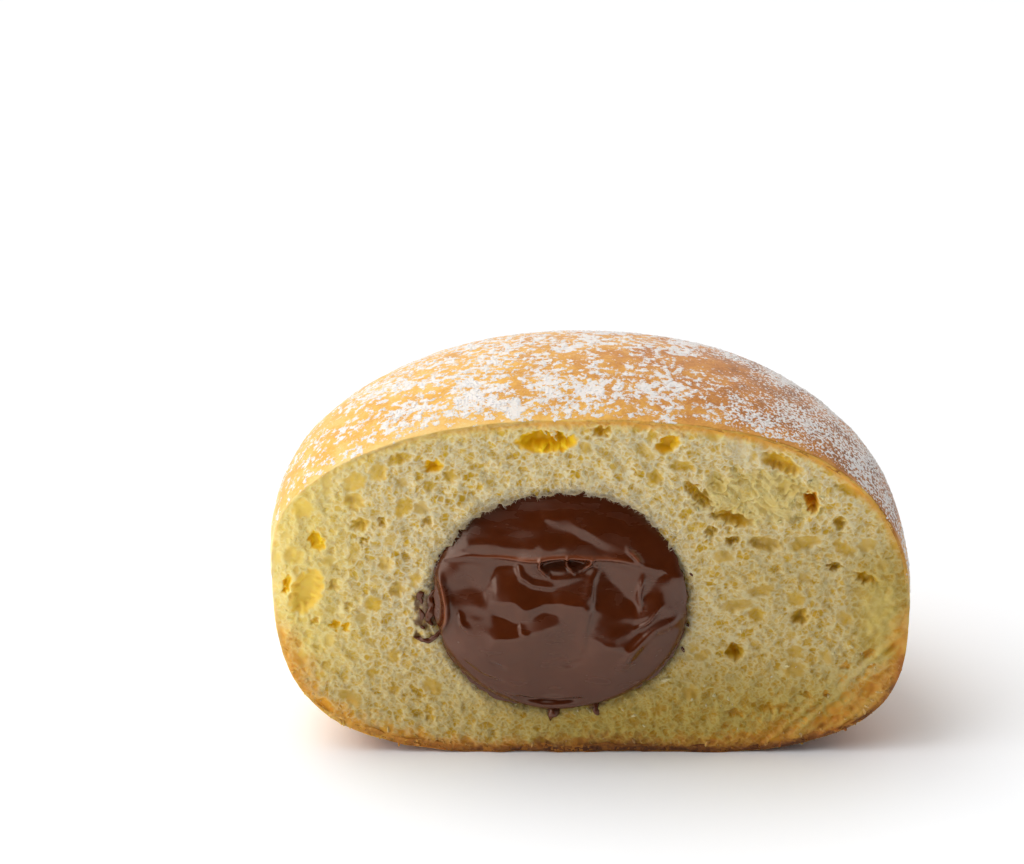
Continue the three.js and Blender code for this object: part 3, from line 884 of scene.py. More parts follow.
def cut_maps(settings):
    """Maps of the cut: how far its surface stands out, how much painted shade a spot takes from lying deep in
    a cell, how much pocket colour it takes, how smooth, frayed, torn, calm and drawn out it is, and how far
    it is from the skin and from the cream."""
    x, z = MAP_X, MAP_Z
    turn = np.arctan2(z - CREAM_Z, x - CREAM_X)
    from_heart = np.hypot(x - CREAM_X, z - CREAM_Z)
    to_skin = skin_radius(turn) - from_heart
    to_cream = from_heart - cream_radius(turn)
    free = (to_skin > 0.25) & (to_cream > 0.0)
    growth = (1 + 0.15 * band_noise(9.0, 51)) * (0.6 + 0.4 * smoothstep(to_cream, 0.3, 5.0))
    growth *= (0.8 + 0.2 * smoothstep(z, 5, 18)) * (1 + 0.15 * smoothstep(-x, 15, 35))
    sizes = np.geomspace(settings.largest_cell / MM, settings.smallest_cell / MM, CELL_SIZES)
    counts = LARGEST_CELLS * (sizes[0] / sizes) ** CELL_POWER
    inside, width, depth, openness = pack_cells(settings.seed, free, growth, sizes, counts)
    share = np.clip(inside / (0.75 * width), 0, 1)
    bowl = depth * share * share * (3 - 2 * share) * smoothstep(to_skin, 0.0, 0.7)
    cell = smoothstep(inside, 0.0, np.clip(0.5 * width, 0.17, 0.4))
    cell *= 0.65 + 0.35 * smoothstep(width, 0.26, 0.5)
    calm = bell(x - CALM_X, 3.0) * bell(z - CALM_Z, 5.5)
    bowl, cell = bowl * (1 - 0.7 * calm), cell * (1 - 0.6 * calm)
    ragged = band_noise(0.8, 55)
    hanging = hanging_skin(ragged)
    torn, ledges = torn_patch()
    smooth = np.maximum(cell * smoothstep(width, 0.65, 1.1) * (1 - hanging), 0.8 * calm)
    # The pocket colour is laid on more strongly near the skin and at the left end: painted light, as if light
    # shone through the thin crumb there.
    lit = np.maximum(smoothstep(to_skin, 10, 4), smoothstep(-x, 20, 32))
    pocket = smoothstep(openness, 0.82, 1.0) * smoothstep(width, 0.35, 0.6)
    pocket = np.maximum.reduce([smoothstep(bowl, 0.9, 2.0), pocket, 0.5 * smoothstep(width, 0.9, 2.2)])
    pocket = pocket * (cell * (0.35 + 0.65 * lit)) * (1 - hanging)
    wall = bell(np.maximum(inside, 0), 0.13) * (0.04 + 0.03 * ragged)
    wave = -FACE_WAVE * 0.7 * np.sin(x / 5 + 0.5) * np.cos(z / 4.2)
    wave = wave + 0.11 * band_noise(4.0, 56) + 0.05 * band_noise(1.6, 60)
    fuzz = (1 - smooth) * (0.018 * band_noise(0.5, 65) + 0.012 * band_noise(0.32, 66))
    stands = smoothstep(to_skin, 0.0, 2.5) * wave + fuzz + wall - bowl - 0.6 * torn * ledges
    stands += 0.9 * torn * hanging
    stands += np.minimum(bowl, 2.2) * (1 - torn) * hanging
    stands -= (0.8 - 0.5 * smoothstep(z, CREAM_Z, CREAM_Z + 8)) * np.exp(-np.maximum(to_cream, 0) / 0.4)
    drawn = drawn_strands(to_skin)
    stands += 0.3 * drawn * smoothstep(to_skin, 0.1, 1.0)
    stands += np.exp(-np.maximum(to_skin, 0) / 1.2) * rim_height(x, z)
    stands -= rim_rounding(turn) * np.clip(1 - to_skin / 3.2, 0, 1.1) ** 2
    openness = np.where(width < 1.2, openness * (1 - 0.6 * torn), openness)
    # The deep value is painted shade: the colour grows darker and yellower towards the hollow of each cell,
    # more in open cells, and in the torn patch darker where its ledges step back.
    deep = cell * (0.55 + 0.45 * openness)
    deep = deep + (0.7 * smoothstep(ledges, 0.5, 1.1) - deep) * 0.7 * torn * (1 - smoothstep(bowl, 0.4, 0.8))
    deep = deep * (1 - hanging) - 0.06 * ragged + 0.08 * band_noise(0.4, 69)
    fray = (1 - smooth) * np.maximum(0.15 * (1 - cell), 0.12 * torn)
    return {
        "stands": stands,
        "deep": np.clip(deep, 0, 1),
        "pocket": pocket,
        "smooth": smooth,
        "fray": np.maximum(fray, smoothstep(to_cream, 2.0, 0.3)),
        "torn": torn,
        "calm": calm,
        "drawn": drawn,
        "skin": to_skin,
        "cream": to_cream,
    }


# How far the frying went round the cut: the angle from the heart, how deep the gold goes and how deep the
# brown, and how dark that is.
FRIED = [
    (-180, 2.0, 0.3, 0.12), (-171, 3.4, 0.3, 0.40), (-163, 4.0, 0.4, 0.42), (-153, 4.0, 0.4, 0.42),
    (-143, 3.6, 0.8, 0.48), (-136, 3.4, 1.2, 0.62), (-126, 3.0, 1.6, 0.76), (-100, 2.6, 2.0, 0.90),
    (-60, 2.8, 2.2, 0.92), (-45, 4.6, 2.6, 0.88), (-33, 6.6, 3.0, 0.82), (-25, 7.6, 3.2, 0.78),
    (-18, 7.0, 2.8, 0.72), (-12, 5.0, 1.8, 0.62), (-5, 3.0, 0.7, 0.40), (0, 1.6, 0.2, 0.22),
    (20, 1.6, 0.2, 0.42), (45, 1.8, 0.2, 0.42), (90, 1.6, 0.2, 0.38), (120, 1.4, 0.1, 0.32),
    (150, 1.3, 0.1, 0.26), (180, 2.0, 0.3, 0.12),
]
# Where the crumb is stained with cream: the middle, and half the width and the height.
STAINS = [(-23.0, 22.0, 1.9, 3.6), (0.9, 7.8, 1.5, 1.5), (-5.8, 6.8, 1.2, 1.4), (-24.2, 18.2, 0.9, 0.5)]


def crumb_rings(maps):
    """Rings of points over the front of the crumb, from the cream to the skin, and over its plain back."""
    dense = FULL_TURN * np.arange(LOOP_STEPS + 1) / LOOP_STEPS - math.pi
    loop = skin_radius(dense)[:, None] * np.stack([np.cos(dense), np.sin(dense)], axis=1)
    walked = np.concatenate([[0], np.cumsum(np.linalg.norm(np.diff(loop, axis=0), axis=1))])
    turn = np.interp(walked[-1] * np.arange(CRUMB_AROUND) / CRUMB_AROUND, walked, dense)
    high = smoothstep(np.sin(turn), 0.1, 0.5)
    ragged = np.interp(turn, dense, noise(14 * np.cos(dense), 14 * np.sin(dense), 0, 0.55, 61))
    inner = cream_radius(turn) - 0.35 - high * (0.25 + 0.55 * ragged)
    outer = skin_radius(turn)
    outer += 0.01 + 0.03 * np.interp(turn, dense, noise(40 * np.cos(dense), 40 * np.sin(dense), 0, 1.5, 67))
    radius = inner + (outer - inner) * np.linspace(0, 1, CRUMB_ROWS)[:, None]
    x, z = CREAM_X + radius * np.cos(turn), np.maximum(CREAM_Z + radius * np.sin(turn), 0.2)
    front = np.stack([x, -CUT_OFFSET - map_at(maps["stands"], x, z), z], axis=-1)
    back = np.stack([front[-1], front[0]])
    back[..., 1] = CRUMB_DEPTH - CUT_OFFSET
    return np.concatenate([front, back])


def stained(x, z):
    """How far the crumb beside the smears is stained with cream, from 0 to 1."""
    ragged = 0.5 * noise(x, 0, z, 0.7, 73) + 0.3 * noise(x, 0, z, 0.35, 74)
    stain = np.zeros(len(x))
    for middle_x, middle_z, across, high in STAINS:
        away = np.hypot((x - middle_x) / across, (z - middle_z) / high) + ragged
        stain = np.maximum(stain, 0.85 * smoothstep(away, 1.0, 0.5))
    return stain


def crumb_values(maps, x, y, z):
    """What the material and the scattered bits of the crumb need to know at each of its points."""
    spot = {key: map_at(field, x, z) for key, field in maps.items()}
    skin, torn = spot["skin"], spot["torn"]
    ragged = 1 + 0.3 * noise(x, 0, z, 2.2, 62) + 0.35 * noise(x, 0, z, 0.6, 68)
    turns, *rows = np.array(FRIED).T
    way = np.arctan2(z - CREAM_Z, x - CREAM_X)
    gold, brown, baked = [np.interp(way, np.radians(turns), row) for row in rows]
    base = smoothstep(z, 6, 2)
    thread = np.maximum(0.75 * (1 - spot["deep"]), 0.9 * smoothstep(spot["drawn"], 0.05, 0.3))
    thread *= smoothstep(skin, 0.3 + 0.5 * base, 1.2 + 0.9 * base)
    baked = baked + 0.12 * smoothstep(skin, 1.2, 0.2) * smoothstep(baked, 0.5, 0.7)
    # The yolk tint grows low in the bun and more so to the right, over the right side and at the right end:
    # partly denser crumb, partly painted shade away from the lamp at the left.
    low = smoothstep(z, 26, 5) * (0.5 + 0.5 * smoothstep(x, -25, 0))
    moist = 0.4 * smoothstep(z, 42, 28) * smoothstep(x, 5, 25)
    # Painted glow, as if light shone through the thin crumb: at the left end here, and along the upper rim
    # below.
    left_end = 0.6 * smoothstep(-x, 26, 42) * smoothstep(z, 8, 18)
    right_end = smoothstep(x, 31, 40) * smoothstep(z, 9, 15) * smoothstep(z, 38, 27)
    rim = 0.5 * smoothstep(skin, 2.4, 0.4) * smoothstep(z, 26, 36)
    oiled = 0.9 * smoothstep(skin, 1.15 * gold * ragged, 0.2 * gold) * smoothstep(baked, 0.2, 0.45)
    amber = 0.9 * spot["pocket"] * bell(np.hypot(x - AMBER[0], z - AMBER[1]), 2.5)
    warm = 0.7 * smoothstep(spot["deep"], 0.6, 0.85) * smoothstep(skin, 11, 5)
    warm *= smoothstep(x, 14, 24) * smoothstep(z, 21, 14)
    flaky = smoothstep(skin, 2.4, 0.8) * smoothstep(z, 14, 5) + 0.08 * torn * (1 - spot["smooth"])
    flaky += 0.06 * (1 - spot["deep"]) * smoothstep(z, 24, 10) * smoothstep(x, -20, 15)
    front = y < CRUMB_DEPTH - CUT_OFFSET - 0.5
    return {
        "fray": smoothstep(spot["fray"], 0.1, 0.9) * smoothstep(skin, 0.3, 1.0) * front,
        "flaky": flaky * front * smoothstep(z, 0.5, 1.2),
        "deep": np.clip(spot["deep"] - 0.6 * spot["drawn"], 0, 1),
        "pocket": spot["pocket"],
        "smooth": spot["smooth"],
        "yolk": np.maximum.reduce([low, moist, 0.45 * torn, 0.9 * right_end]),
        # belt holds the painted glow.
        "belt": np.maximum(left_end + 0.25 * torn + 0.3 * spot["calm"], rim),
        "honey": np.maximum.reduce([oiled * (1 - 0.6 * thread), amber, warm]),
        "browned": smoothstep(skin, 1.7 * brown * ragged, 0.4 * brown * ragged) * (1 - thread),
        "baked": baked,
        "stain": np.maximum(0.5 * smoothstep(spot["cream"], 0.1, -0.4), stained(x, z)),
    }


def make_crumb(settings, crust):
    """The crumb behind the cut, as a ring round the cream: a front full of open cells, and a plain back."""
    maps = cut_maps(settings)
    rings = crumb_rings(maps)
    number = np.arange(rings.shape[0] * CRUMB_AROUND).reshape(rings.shape[:2])
    after, above = np.roll(number, -1, axis=1), np.roll(number, -1, axis=0)
    faces = np.stack([number, above, np.roll(above, -1, axis=1), after], axis=-1).reshape(-1, 4)
    piece = make_piece("crumb", rings.reshape(-1, 3), [faces], crumb_material(settings, crust))
    modifier = piece.modifiers.new("thin", "DECIMATE")
    modifier.ratio = CRUMB_TRIANGLES / (2 * len(faces))
    make_plain(piece)
    points = np.empty(len(piece.data.vertices) * 3, np.float32)
    piece.data.vertices.foreach_get("co", points)
    x, y, z = points.reshape(-1, 3).T / MM
    set_values(piece.data, crumb_values(maps, x, y, z))
    return piece


# The cream

CREAM_GRID = 290
CREAM_BACK_RINGS = 10
CREAM_MAP_STEP = 0.15
CREAM_MAP_SIZE = 320
CREAM_MAP_LOW = -CREAM_MAP_STEP * (CREAM_MAP_SIZE // 2)
CREAM_BACK = CREAM_DEPTH - 0.3
HOLLOW_LEAN = 0.6
EDGE_BLUR = 0.28
STROKE_STEPS = 48

# Points on the cream are millimetres from its middle, across and up. First, outlines of the places below the
# lip where the knife left the cream leaning back, so that it looks up.
HOLLOWS = [
    [(-9.2, 5.8), (-5.6, 6.1), (-4.9, 4.4), (-3.5, 3.4), (-0.8, 3.0), (2.2, 3.8), (4.0, 4.2), (4.0, 2.7),
     (2.9, 1.1), (0.8, 1.0), (-2.1, 0.8), (-4.6, -0.2), (-5.3, 0.2), (-6.3, 1.1), (-9.5, 1.1), (-9.9, -0.2),
     (-7.7, -1.6), (-4.9, -2.0), (-3.9, -1.0), (-2.1, -0.2), (0.0, -0.4), (-0.1, -1.9), (-3.1, -2.9),
     (-5.3, -3.9), (-8.8, -4.2), (-10.2, -6.4), (-12.0, -7.0), (-14.1, -5.8), (-15.2, -2.3), (-16.5, 0.8),
     (-16.8, 3.1), (-14.8, 2.3), (-12.4, 2.7), (-10.4, 1.9), (-9.9, 4.2)],
    [(4.5, 3.8), (5.7, 5.4), (7.5, 3.1), (8.9, 1.9), (10.9, 0.0), (12.5, -0.2), (10.3, -2.3), (11.6, -4.2),
     (10.7, -5.4), (8.9, -6.6), (7.9, -5.8), (5.7, -4.8), (4.0, -3.9), (4.0, -0.8)],
    [(11.6, 0.8), (13.5, 4.3), (15.1, 4.8), (15.7, 2.3), (17.1, -1.1), (16.5, -1.9), (15.1, -0.5),
     (13.9, 0.6), (12.5, -1.1), (11.2, -0.9)],
    [(-4.2, -14.2), (-0.7, -13.8), (1.5, -14.8), (-0.7, -15.6), (-3.1, -15.2)],
]
# The fold above the lip, which stands upright there.
FOLD = [(-2.8, 12.3), (0.1, 12.5), (3.6, 11.1), (5.7, 9.6), (9.6, 8.1), (11.0, 6.4), (6.4, 7.4), (4.3, 8.8),
        (0.8, 10.4), (-2.4, 11.4)]
# The lip, from left to right.
LIP = [(-18.0, 5.4), (-17.0, 6.3), (-13.4, 7.4), (-8.8, 7.4), (-5.3, 7.0), (-2.8, 7.2), (0.8, 7.6),
       (5.0, 7.0), (7.9, 6.9), (11.4, 6.3), (14.0, 5.0), (18.0, 3.5)]

# Ridges and grooves: points on their way, the half-widths on the left and the right of it, and the height.
STROKES = [
    (LIP[1:-1], 0.8, 0.4, 0.5),
    ([(-2.6, 6.2), (0.8, 6.4), (4.2, 5.9)], 0.6, 1.0, -1.7),
    ([(-2.9, 7.2), (-3.0, 6.0), (-1.8, 4.8)], 0.3, 0.25, 0.8),
    ([(0.9, 7.3), (0.8, 6.1), (2.0, 5.1)], 0.3, 0.25, 0.9),
    ([(4.5, 7.0), (3.9, 6.0), (2.8, 5.3)], 0.3, 0.25, 0.7),
    ([(-6.0, 6.4), (-5.4, 4.7), (-3.9, 3.6), (-1.0, 3.1)], 0.5, 0.45, 0.55),
    ([(5.2, 5.4), (4.3, 3.5), (4.2, 0.8), (3.5, -2.3), (3.0, -6.2)], 0.5, 1.0, 0.5),
    ([(11.6, 4.3), (11.0, 2.0), (11.2, -0.4)], 0.3, 0.5, 0.5),
    ([(16.4, -2.2), (13.5, -3.0), (10.3, -6.0), (8.2, -9.1)], 1.0, 0.7, 0.7),
    ([(14.0, 0.2), (12.4, -1.9), (10.4, -3.2)], 0.3, 0.3, 0.3),
    ([(-17.8, 5.3), (-16.6, 3.0), (-16.0, 0.3), (-16.1, -2.4), (-17.1, -4.7)], 0.6, 0.4, 1.2),
    ([(-14.1, -1.4), (-13.8, -2.6), (-12.9, -3.4)], 0.5, 0.3, 0.4),
    ([(-5.6, -2.2), (-5.4, -3.2), (-4.6, -3.7)], 0.5, 0.3, 0.3),
    ([(9.2, 8.4), (10.4, 7.4), (11.3, 6.4)], 0.35, 0.35, 0.5),
    ([(-6.0, -14.3), (-3.2, -14.9), (0.2, -15.0), (3.0, -14.5)], 0.3, 0.7, -0.9),
    ([(-9.8, -7.9), (-8.8, -8.6), (-7.7, -9.2)], 0.4, 0.4, -0.22),
    ([(-0.9, -8.3), (1.0, -8.7), (2.9, -7.9)], 0.45, 0.45, -0.25),
    ([(-13.8, -8.2), (-11.0, -10.6), (-7.0, -12.2)], 0.35, 0.5, -0.2),
]
# The strokes, by number, whose edge is thin enough to let light through.
CRESTS = (0, 2, 3, 4, 10, 13)


def within(outline, x, z):
    """Which points lie within an outline."""
    inside = np.zeros(np.broadcast(x, z).shape, bool)
    for (ax, az), (bx, bz) in zip(outline, outline[1:] + outline[:1]):
        if az != bz:
            inside ^= ((az > z) != (bz > z)) & (x < ax + (bx - ax) * (z - az) / (bz - az))
    return inside


def stroke_height(stroke, x, z):
    """How far a stroke of the knife raises the cream, with two unlike sides, and fading at its ends."""
    points, left, right, height = stroke
    line = soft_line(points, STROKE_STEPS, 12)
    highest = np.zeros(x.shape)
    for number, (start, end) in enumerate(zip(line, line[1:])):
        ahead = end - start
        dx, dz = x - start[0], z - start[1]
        along = np.clip((dx * ahead[0] + dz * ahead[1]) / (ahead @ ahead), 0, 1)
        side = np.where(ahead[0] * dz - ahead[1] * dx > 0, left, right)
        fade = np.sin(math.pi * (number + along + 0.5) / STROKE_STEPS) ** 0.5
        away = np.hypot(dx - along * ahead[0], dz - along * ahead[1])
        highest = np.maximum(highest, fade * bell(away, side))
    return height * highest


def cream_relief():
    """A map of how far the knife's broad strokes raise the cream, worked out from how far it leans back."""
    axis = CREAM_MAP_STEP * (np.arange(CREAM_MAP_SIZE) - CREAM_MAP_SIZE // 2)
    flat_x, flat_z = np.broadcast_arrays(axis[:, None], axis[None])
    x = flat_x + 0.3 * noise(flat_x, 0, flat_z, 1.3, 79)
    z = flat_z + 0.3 * noise(flat_x, 0, flat_z, 1.3, 80)
    streaks = noise(0.35 * x, 0, z + 0.2 * x, 0.9, 81)
    above = z > np.interp(x, *np.array(LIP).T)
    leans = np.where(above, 0.6, 0.0)
    leans = np.where(within(FOLD, x, z), -0.6 + 0.3 * streaks, leans)
    for outline in HOLLOWS:
        leans = np.where(within(outline, x, z), 1 + 1.2 * smoothstep(-z, 9, 15), leans)
    leans = leans + 0.16 * streaks + 0.14 * noise(x, 0, z, 2.4, 82)
    leans *= np.hypot(x / CREAM_HALF_WIDTH, z / CREAM_HALF_HEIGHT) < 1.02
    kx = FULL_TURN * np.fft.fftfreq(CREAM_MAP_SIZE, CREAM_MAP_STEP)[:, None]
    kz = FULL_TURN * np.fft.rfftfreq(CREAM_MAP_SIZE, CREAM_MAP_STEP)[None]
    blur = np.exp(-((kx * kx + kz * kz) * EDGE_BLUR**2) / 2)
    waves = np.fft.rfft2(HOLLOW_LEAN * leans) * blur * 1j * kz / (kz * kz + 0.12 * kx * kx + 0.004)
    return np.fft.irfft2(waves, leans.shape)


def cream_front(x, z, settings):
    """How far the front of the cream stands out of the cut, and how thin its edges are."""
    share = np.minimum(1, np.hypot(x / CREAM_HALF_WIDTH, z / CREAM_HALF_HEIGHT))
    broad = map_at(cream_relief(), x, z, (CREAM_MAP_LOW, CREAM_MAP_LOW), CREAM_MAP_STEP)
    raised = [stroke_height(stroke, x, z) for stroke in STROKES]
    crest = np.zeros(x.shape)
    for number in CRESTS:
        crest = np.maximum(crest, smoothstep(raised[number] / STROKES[number][3], 0.55, 0.95))
    edge = np.sqrt(1 - share**2.2)
    swirl = 0.16 * noise(x, 0, z, 4.0, 63) + 0.035 * noise(0.6 * x + 0.5 * z, 0, z - 0.3 * x, 1.3, 78)
    sunk = settings.sink / MM * smoothstep(z, 3.0, 14.0)
    swell = settings.swell / MM + broad + swirl
    swell += (0.5 * (np.hypot(swell, 1.2) - swell)) * smoothstep(share, 0.8, 0.97)
    return swell * edge + sum(raised) * smoothstep(edge, 0.0, 0.4) - sunk, crest


def make_cream(settings):
    """The filling: a front that the knife smeared, and the egg behind it."""
    line = np.linspace(-1, 1, CREAM_GRID)
    u, v = np.meshgrid(line, line, indexing="ij")
    x, z = u * np.sqrt(1 - v * v / 2), v * np.sqrt(1 - u * u / 2)
    turn = np.arctan2(z, x)
    radius = cream_radius(turn)
    uneven = 0.3 * noise(radius * np.cos(turn), 0, radius * np.sin(turn), 2.2, 71)
    uneven += 0.2 * noise(radius * np.cos(turn), 0, radius * np.sin(turn), 0.8, 72)
    radius += (np.maximum(uneven, -0.2) + 0.05) * smoothstep(np.hypot(x, z), 0.6, 1.0)
    x, z = x * radius, z * radius
    front, crest = cream_front(x, z, settings)
    grid = np.stack([CREAM_X + x, -CUT_OFFSET - front, CREAM_Z + z], axis=-1)
    number = np.arange(CREAM_GRID**2).reshape(CREAM_GRID, CREAM_GRID)
    corners = [number[:-1, :-1], number[1:, :-1], number[1:, 1:], number[:-1, 1:]]
    faces = [np.stack(corners, axis=-1).reshape(-1, 4)]
    edge = np.concatenate([number[:-1, 0], number[-1, :-1], number[:0:-1, -1], number[0, :0:-1]])
    rim = grid.reshape(-1, 3)[edge]
    across, start, up = (rim - HEART).T
    points, count = [grid.reshape(-1, 3)], CREAM_GRID**2
    before = edge
    for row in range(1, CREAM_BACK_RINGS):
        deep = start + (CREAM_BACK - start) * math.sin(QUARTER_TURN * row / CREAM_BACK_RINGS)
        narrow = np.sqrt(np.clip(1 - (np.maximum(deep, 0) / CREAM_BACK) ** 2, 0, 1))
        points.append(HEART + np.stack([across * narrow, deep, up * narrow], axis=1))
        here = count + np.arange(len(edge))
        faces.append(np.stack([before, here, np.roll(here, -1), np.roll(before, -1)], axis=-1))
        before, count = here, count + len(edge)
    points.append(HEART[None] + np.array([[0, CREAM_BACK, 0]]))
    faces.append(np.stack([before, np.full(len(edge), count), np.roll(before, -1)], axis=-1))
    points = np.concatenate(points)
    thin = np.zeros(len(points))
    thin[: crest.size] = crest.ravel()
    return make_piece("cream_filling", points, faces, cream_material(settings), {"crest": thin})


# Smears of cream on the crumb: the way across and up, and the half-width where they are thickest.
SMEARS = [
    ([(-20.6, 19.4), (-21.6, 18.2), (-22.6, 17.5), (-23.8, 17.7), (-24.9, 18.2)], 0.38),
    ([(-21.6, 25.4), (-22.5, 23.9), (-22.3, 22.3), (-22.8, 20.8), (-22.2, 19.6)], 0.6),
    ([(-23.4, 24.9), (-24.1, 24.2), (-23.6, 23.2)], 0.45),
    ([(-24.0, 22.4), (-23.5, 21.6), (-23.8, 20.7)], 0.3),
    ([(-23.9, 19.7), (-23.2, 19.3)], 0.25),
    ([(-4.4, 8.6), (-4.8, 7.4), (-5.3, 6.3), (-5.8, 5.2)], 0.9),
    ([(-7.6, 7.7), (-7.2, 6.9)], 0.4),
    ([(0.0, 8.8), (0.9, 7.6), (0.7, 6.7), (1.3, 6.0)], 0.5),
    ([(1.4, 8.8), (2.2, 8.1)], 0.3),
    ([(2.8, 9.6), (3.3, 9.3)], 0.25),
    ([(13.7, 28.0), (14.2, 27.5)], 0.22),
    ([(12.8, 16.4), (13.1, 15.7)], 0.25),
    ([(13.4, 19.9), (13.7, 19.5)], 0.2),
]
SMEAR_SIDES = 10
SMEAR_STEPS = 28
# Where the rays start that find the crumb under a smear.
RAY_START = -100.0


def make_smears(crumb, material):
    """Strings and dabs of cream that lie on the crumb, each a closed tube with uneven sides."""
    points, blocks, count = [], [], 0
    turns = FULL_TURN * np.arange(SMEAR_SIDES) / SMEAR_SIDES
    for way, half in SMEARS:
        line = soft_line(way, SMEAR_STEPS, 6)
        ahead = np.gradient(line, axis=0)
        ahead /= np.linalg.norm(ahead, axis=1, keepdims=True)
        starts = [Vector((x * MM, RAY_START * MM, z * MM)) for x, z in line]
        hits = [crumb.ray_cast(start, Vector((0, 1, 0))) for start in starts]
        front = relaxed(np.array([hit[1].y / MM if hit[0] else -CUT_OFFSET for hit in hits]), 4)
        spread = half * np.sin(math.pi * (np.arange(SMEAR_STEPS) + 0.7) / (SMEAR_STEPS + 0.4)) ** 0.6
        side, high = np.cos(turns)[None] * spread[:, None], np.sin(turns)[None] * spread[:, None] * 0.7
        x, z = line[:, :1] - ahead[:, 1:] * side, line[:, 1:] + ahead[:, :1] * side
        ring = np.stack([x, front[:, None] - 0.25 * half - high, z], axis=-1)
        ring += 0.35 * half * np.stack([noise_at(ring, 0.6, seed) for seed in (75, 76, 77)], axis=-1)
        ends = [ring[place].mean(axis=0)[None] for place in (0, -1)]
        points.append(np.concatenate([ends[0], ring.reshape(-1, 3), ends[1]]))
        blocks.append([block + count for block in ring_faces(SMEAR_STEPS, SMEAR_SIDES)])
        count += len(points[-1])
    points = np.concatenate(points)
    faces = [np.concatenate(kind) for kind in zip(*blocks)]
    return make_piece("cream_smears", points, faces, material, {"crest": np.full(len(points), 0.15)})


# Sugar and small bits, scattered by Geometry Nodes

SCATTER_INPUTS = {
    "Density": "NodeSocketFloat",
    "Size": "NodeSocketFloat",
    "Seed": "NodeSocketInt",
    "Material": "NodeSocketMaterial",
}


def new_scatter(name):
    """A Geometry Nodes tree, and the sockets of what it is given."""
    tree = bpy.data.node_groups.new(name, "GeometryNodeTree")
    tree.interface.new_socket("Geometry", in_out="INPUT", socket_type="NodeSocketGeometry")
    for key, kind in SCATTER_INPUTS.items():
        tree.interface.new_socket(key, in_out="INPUT", socket_type=kind)
    tree.interface.new_socket("Geometry", in_out="OUTPUT", socket_type="NodeSocketGeometry")
    return tree, add_node(tree, "NodeGroupInput").outputs


def named_value(tree, name):
    """A value that the surface has at each point."""
    return add_node(tree, "GeometryNodeInputNamedAttribute", {"Name": name}, data_type="FLOAT").outputs[0]


def random_value(tree, low, high, seed, kind="FLOAT"):
    """A random number or vector for each scattered thing."""
    node = add_node(tree, "FunctionNodeRandomValue", data_type=kind)
    places = {"FLOAT": (2, 3, 1), "FLOAT_VECTOR": (0, 1, 0)}[kind]
    give(tree, node, {places[0]: low, places[1]: high, "Seed": seed})
    return node.outputs[places[2]]


def random_scale(tree, given, smaller, least, low, high):
    """A random size from the least share up, with more small ones, in proportions between low and high."""
    share = maths(tree, "POWER", random_value(tree, 0.0, 1.0, 5), smaller)
    share = mapped(tree, share, 0.0, 1.0, least, 1.0, "LINEAR")
    size = maths(tree, "MULTIPLY", share, given["Size"])
    return vector_maths(tree, "SCALE", random_value(tree, low, high, 6, "FLOAT_VECTOR"), size)


def clump_shapes(tree, sides, roughness, count):
    """Several small uneven lumps of radius 1, as instances to pick from."""
    join = add_node(tree, "GeometryNodeGeometryToInstance")
    for number in range(count):
        form = {"Radius": 1.0, "Segments": sides, "Rings": sides // 2}
        ball = add_node(tree, "GeometryNodeMeshUVSphere", form).outputs["Mesh"]
        place = add_node(tree, "GeometryNodeInputPosition").outputs[0]
        lumps = cloud(tree, vector_maths(tree, "ADD", place, (7.3 * number, 3.1, 5.7)), 1.3, 1.0)
        swell = mapped(tree, lumps, 0.25, 0.75, 1 - roughness, 1 + roughness, "LINEAR")
        inputs = {"Geometry": ball, "Position": vector_maths(tree, "SCALE", place, swell)}
        shaped = add_node(tree, "GeometryNodeSetPosition", inputs)
        tree.links.new(shaped.outputs["Geometry"], join.inputs[0])
    return join.outputs[0]


def spread_points(tree, given, cover):
    """Points on the given surface, as dense as its cover from 0 to 1 asks."""
    inputs = {
        "Mesh": given["Geometry"],
        "Density": maths(tree, "MULTIPLY", cover, given["Density"]),
        "Seed": given["Seed"],
    }
    return add_node(tree, "GeometryNodeDistributePointsOnFaces", inputs).outputs


def place_shapes(tree, given, points, tilt, shapes, values=()):
    """Puts shapes on points, each turned at random between two limits, as mesh with the given material."""
    turn = random_value(tree, *tilt, 8, "FLOAT_VECTOR")
    inputs = {0: points["Rotation"], 1: turn}
    twist = add_node(tree, "FunctionNodeRotateRotation", inputs, rotation_space="LOCAL").outputs[0]
    inputs = {"Points": points["Points"], "Rotation": twist}
    placed = add_node(tree, "GeometryNodeInstanceOnPoints", inputs | shapes).outputs["Instances"]
    mesh = add_node(tree, "GeometryNodeRealizeInstances", {"Geometry": placed}).outputs["Geometry"]
    for name, value in values:
        inputs = {"Geometry": mesh, "Name": name, "Value": value}
        store = add_node(tree, "GeometryNodeStoreNamedAttribute", inputs, data_type="FLOAT", domain="POINT")
        mesh = store.outputs[0]
    done = add_node(tree, "GeometryNodeSetMaterial", {"Geometry": mesh, "Material": given["Material"]})
    add_node(tree, "NodeGroupOutput", {"Geometry": done.outputs["Geometry"]})


def sugar_tree(name, sides, flatness, sharpness):
    """Lumps of sugar on a surface, as dense as its sugar is thick."""
    tree, given = new_scatter(name)
    cover = named_value(tree, "sugar")
    points = spread_points(tree, given, mapped(tree, cover, 0.0, 0.3))
    place = add_node(tree, "GeometryNodeInputPosition").outputs[0]
    thick = powder(tree, place, cover, named_value(tree, "even"))
    low, high = (0.8, 0.8, flatness * 0.8), (1.2, 1.2, flatness * 1.3)
    shapes = {
        "Selection": maths(tree, "GREATER_THAN", thick, sharpness),
        "Instance": clump_shapes(tree, sides, 0.35, 5),
        "Pick Instance": True,
        "Scale": random_scale(tree, given, 1.6, 0.4, low, high),
    }
    place_shapes(tree, given, points, ((-0.4, -0.4, 0.0), (0.4, 0.4, FULL_TURN)), shapes)
    return tree


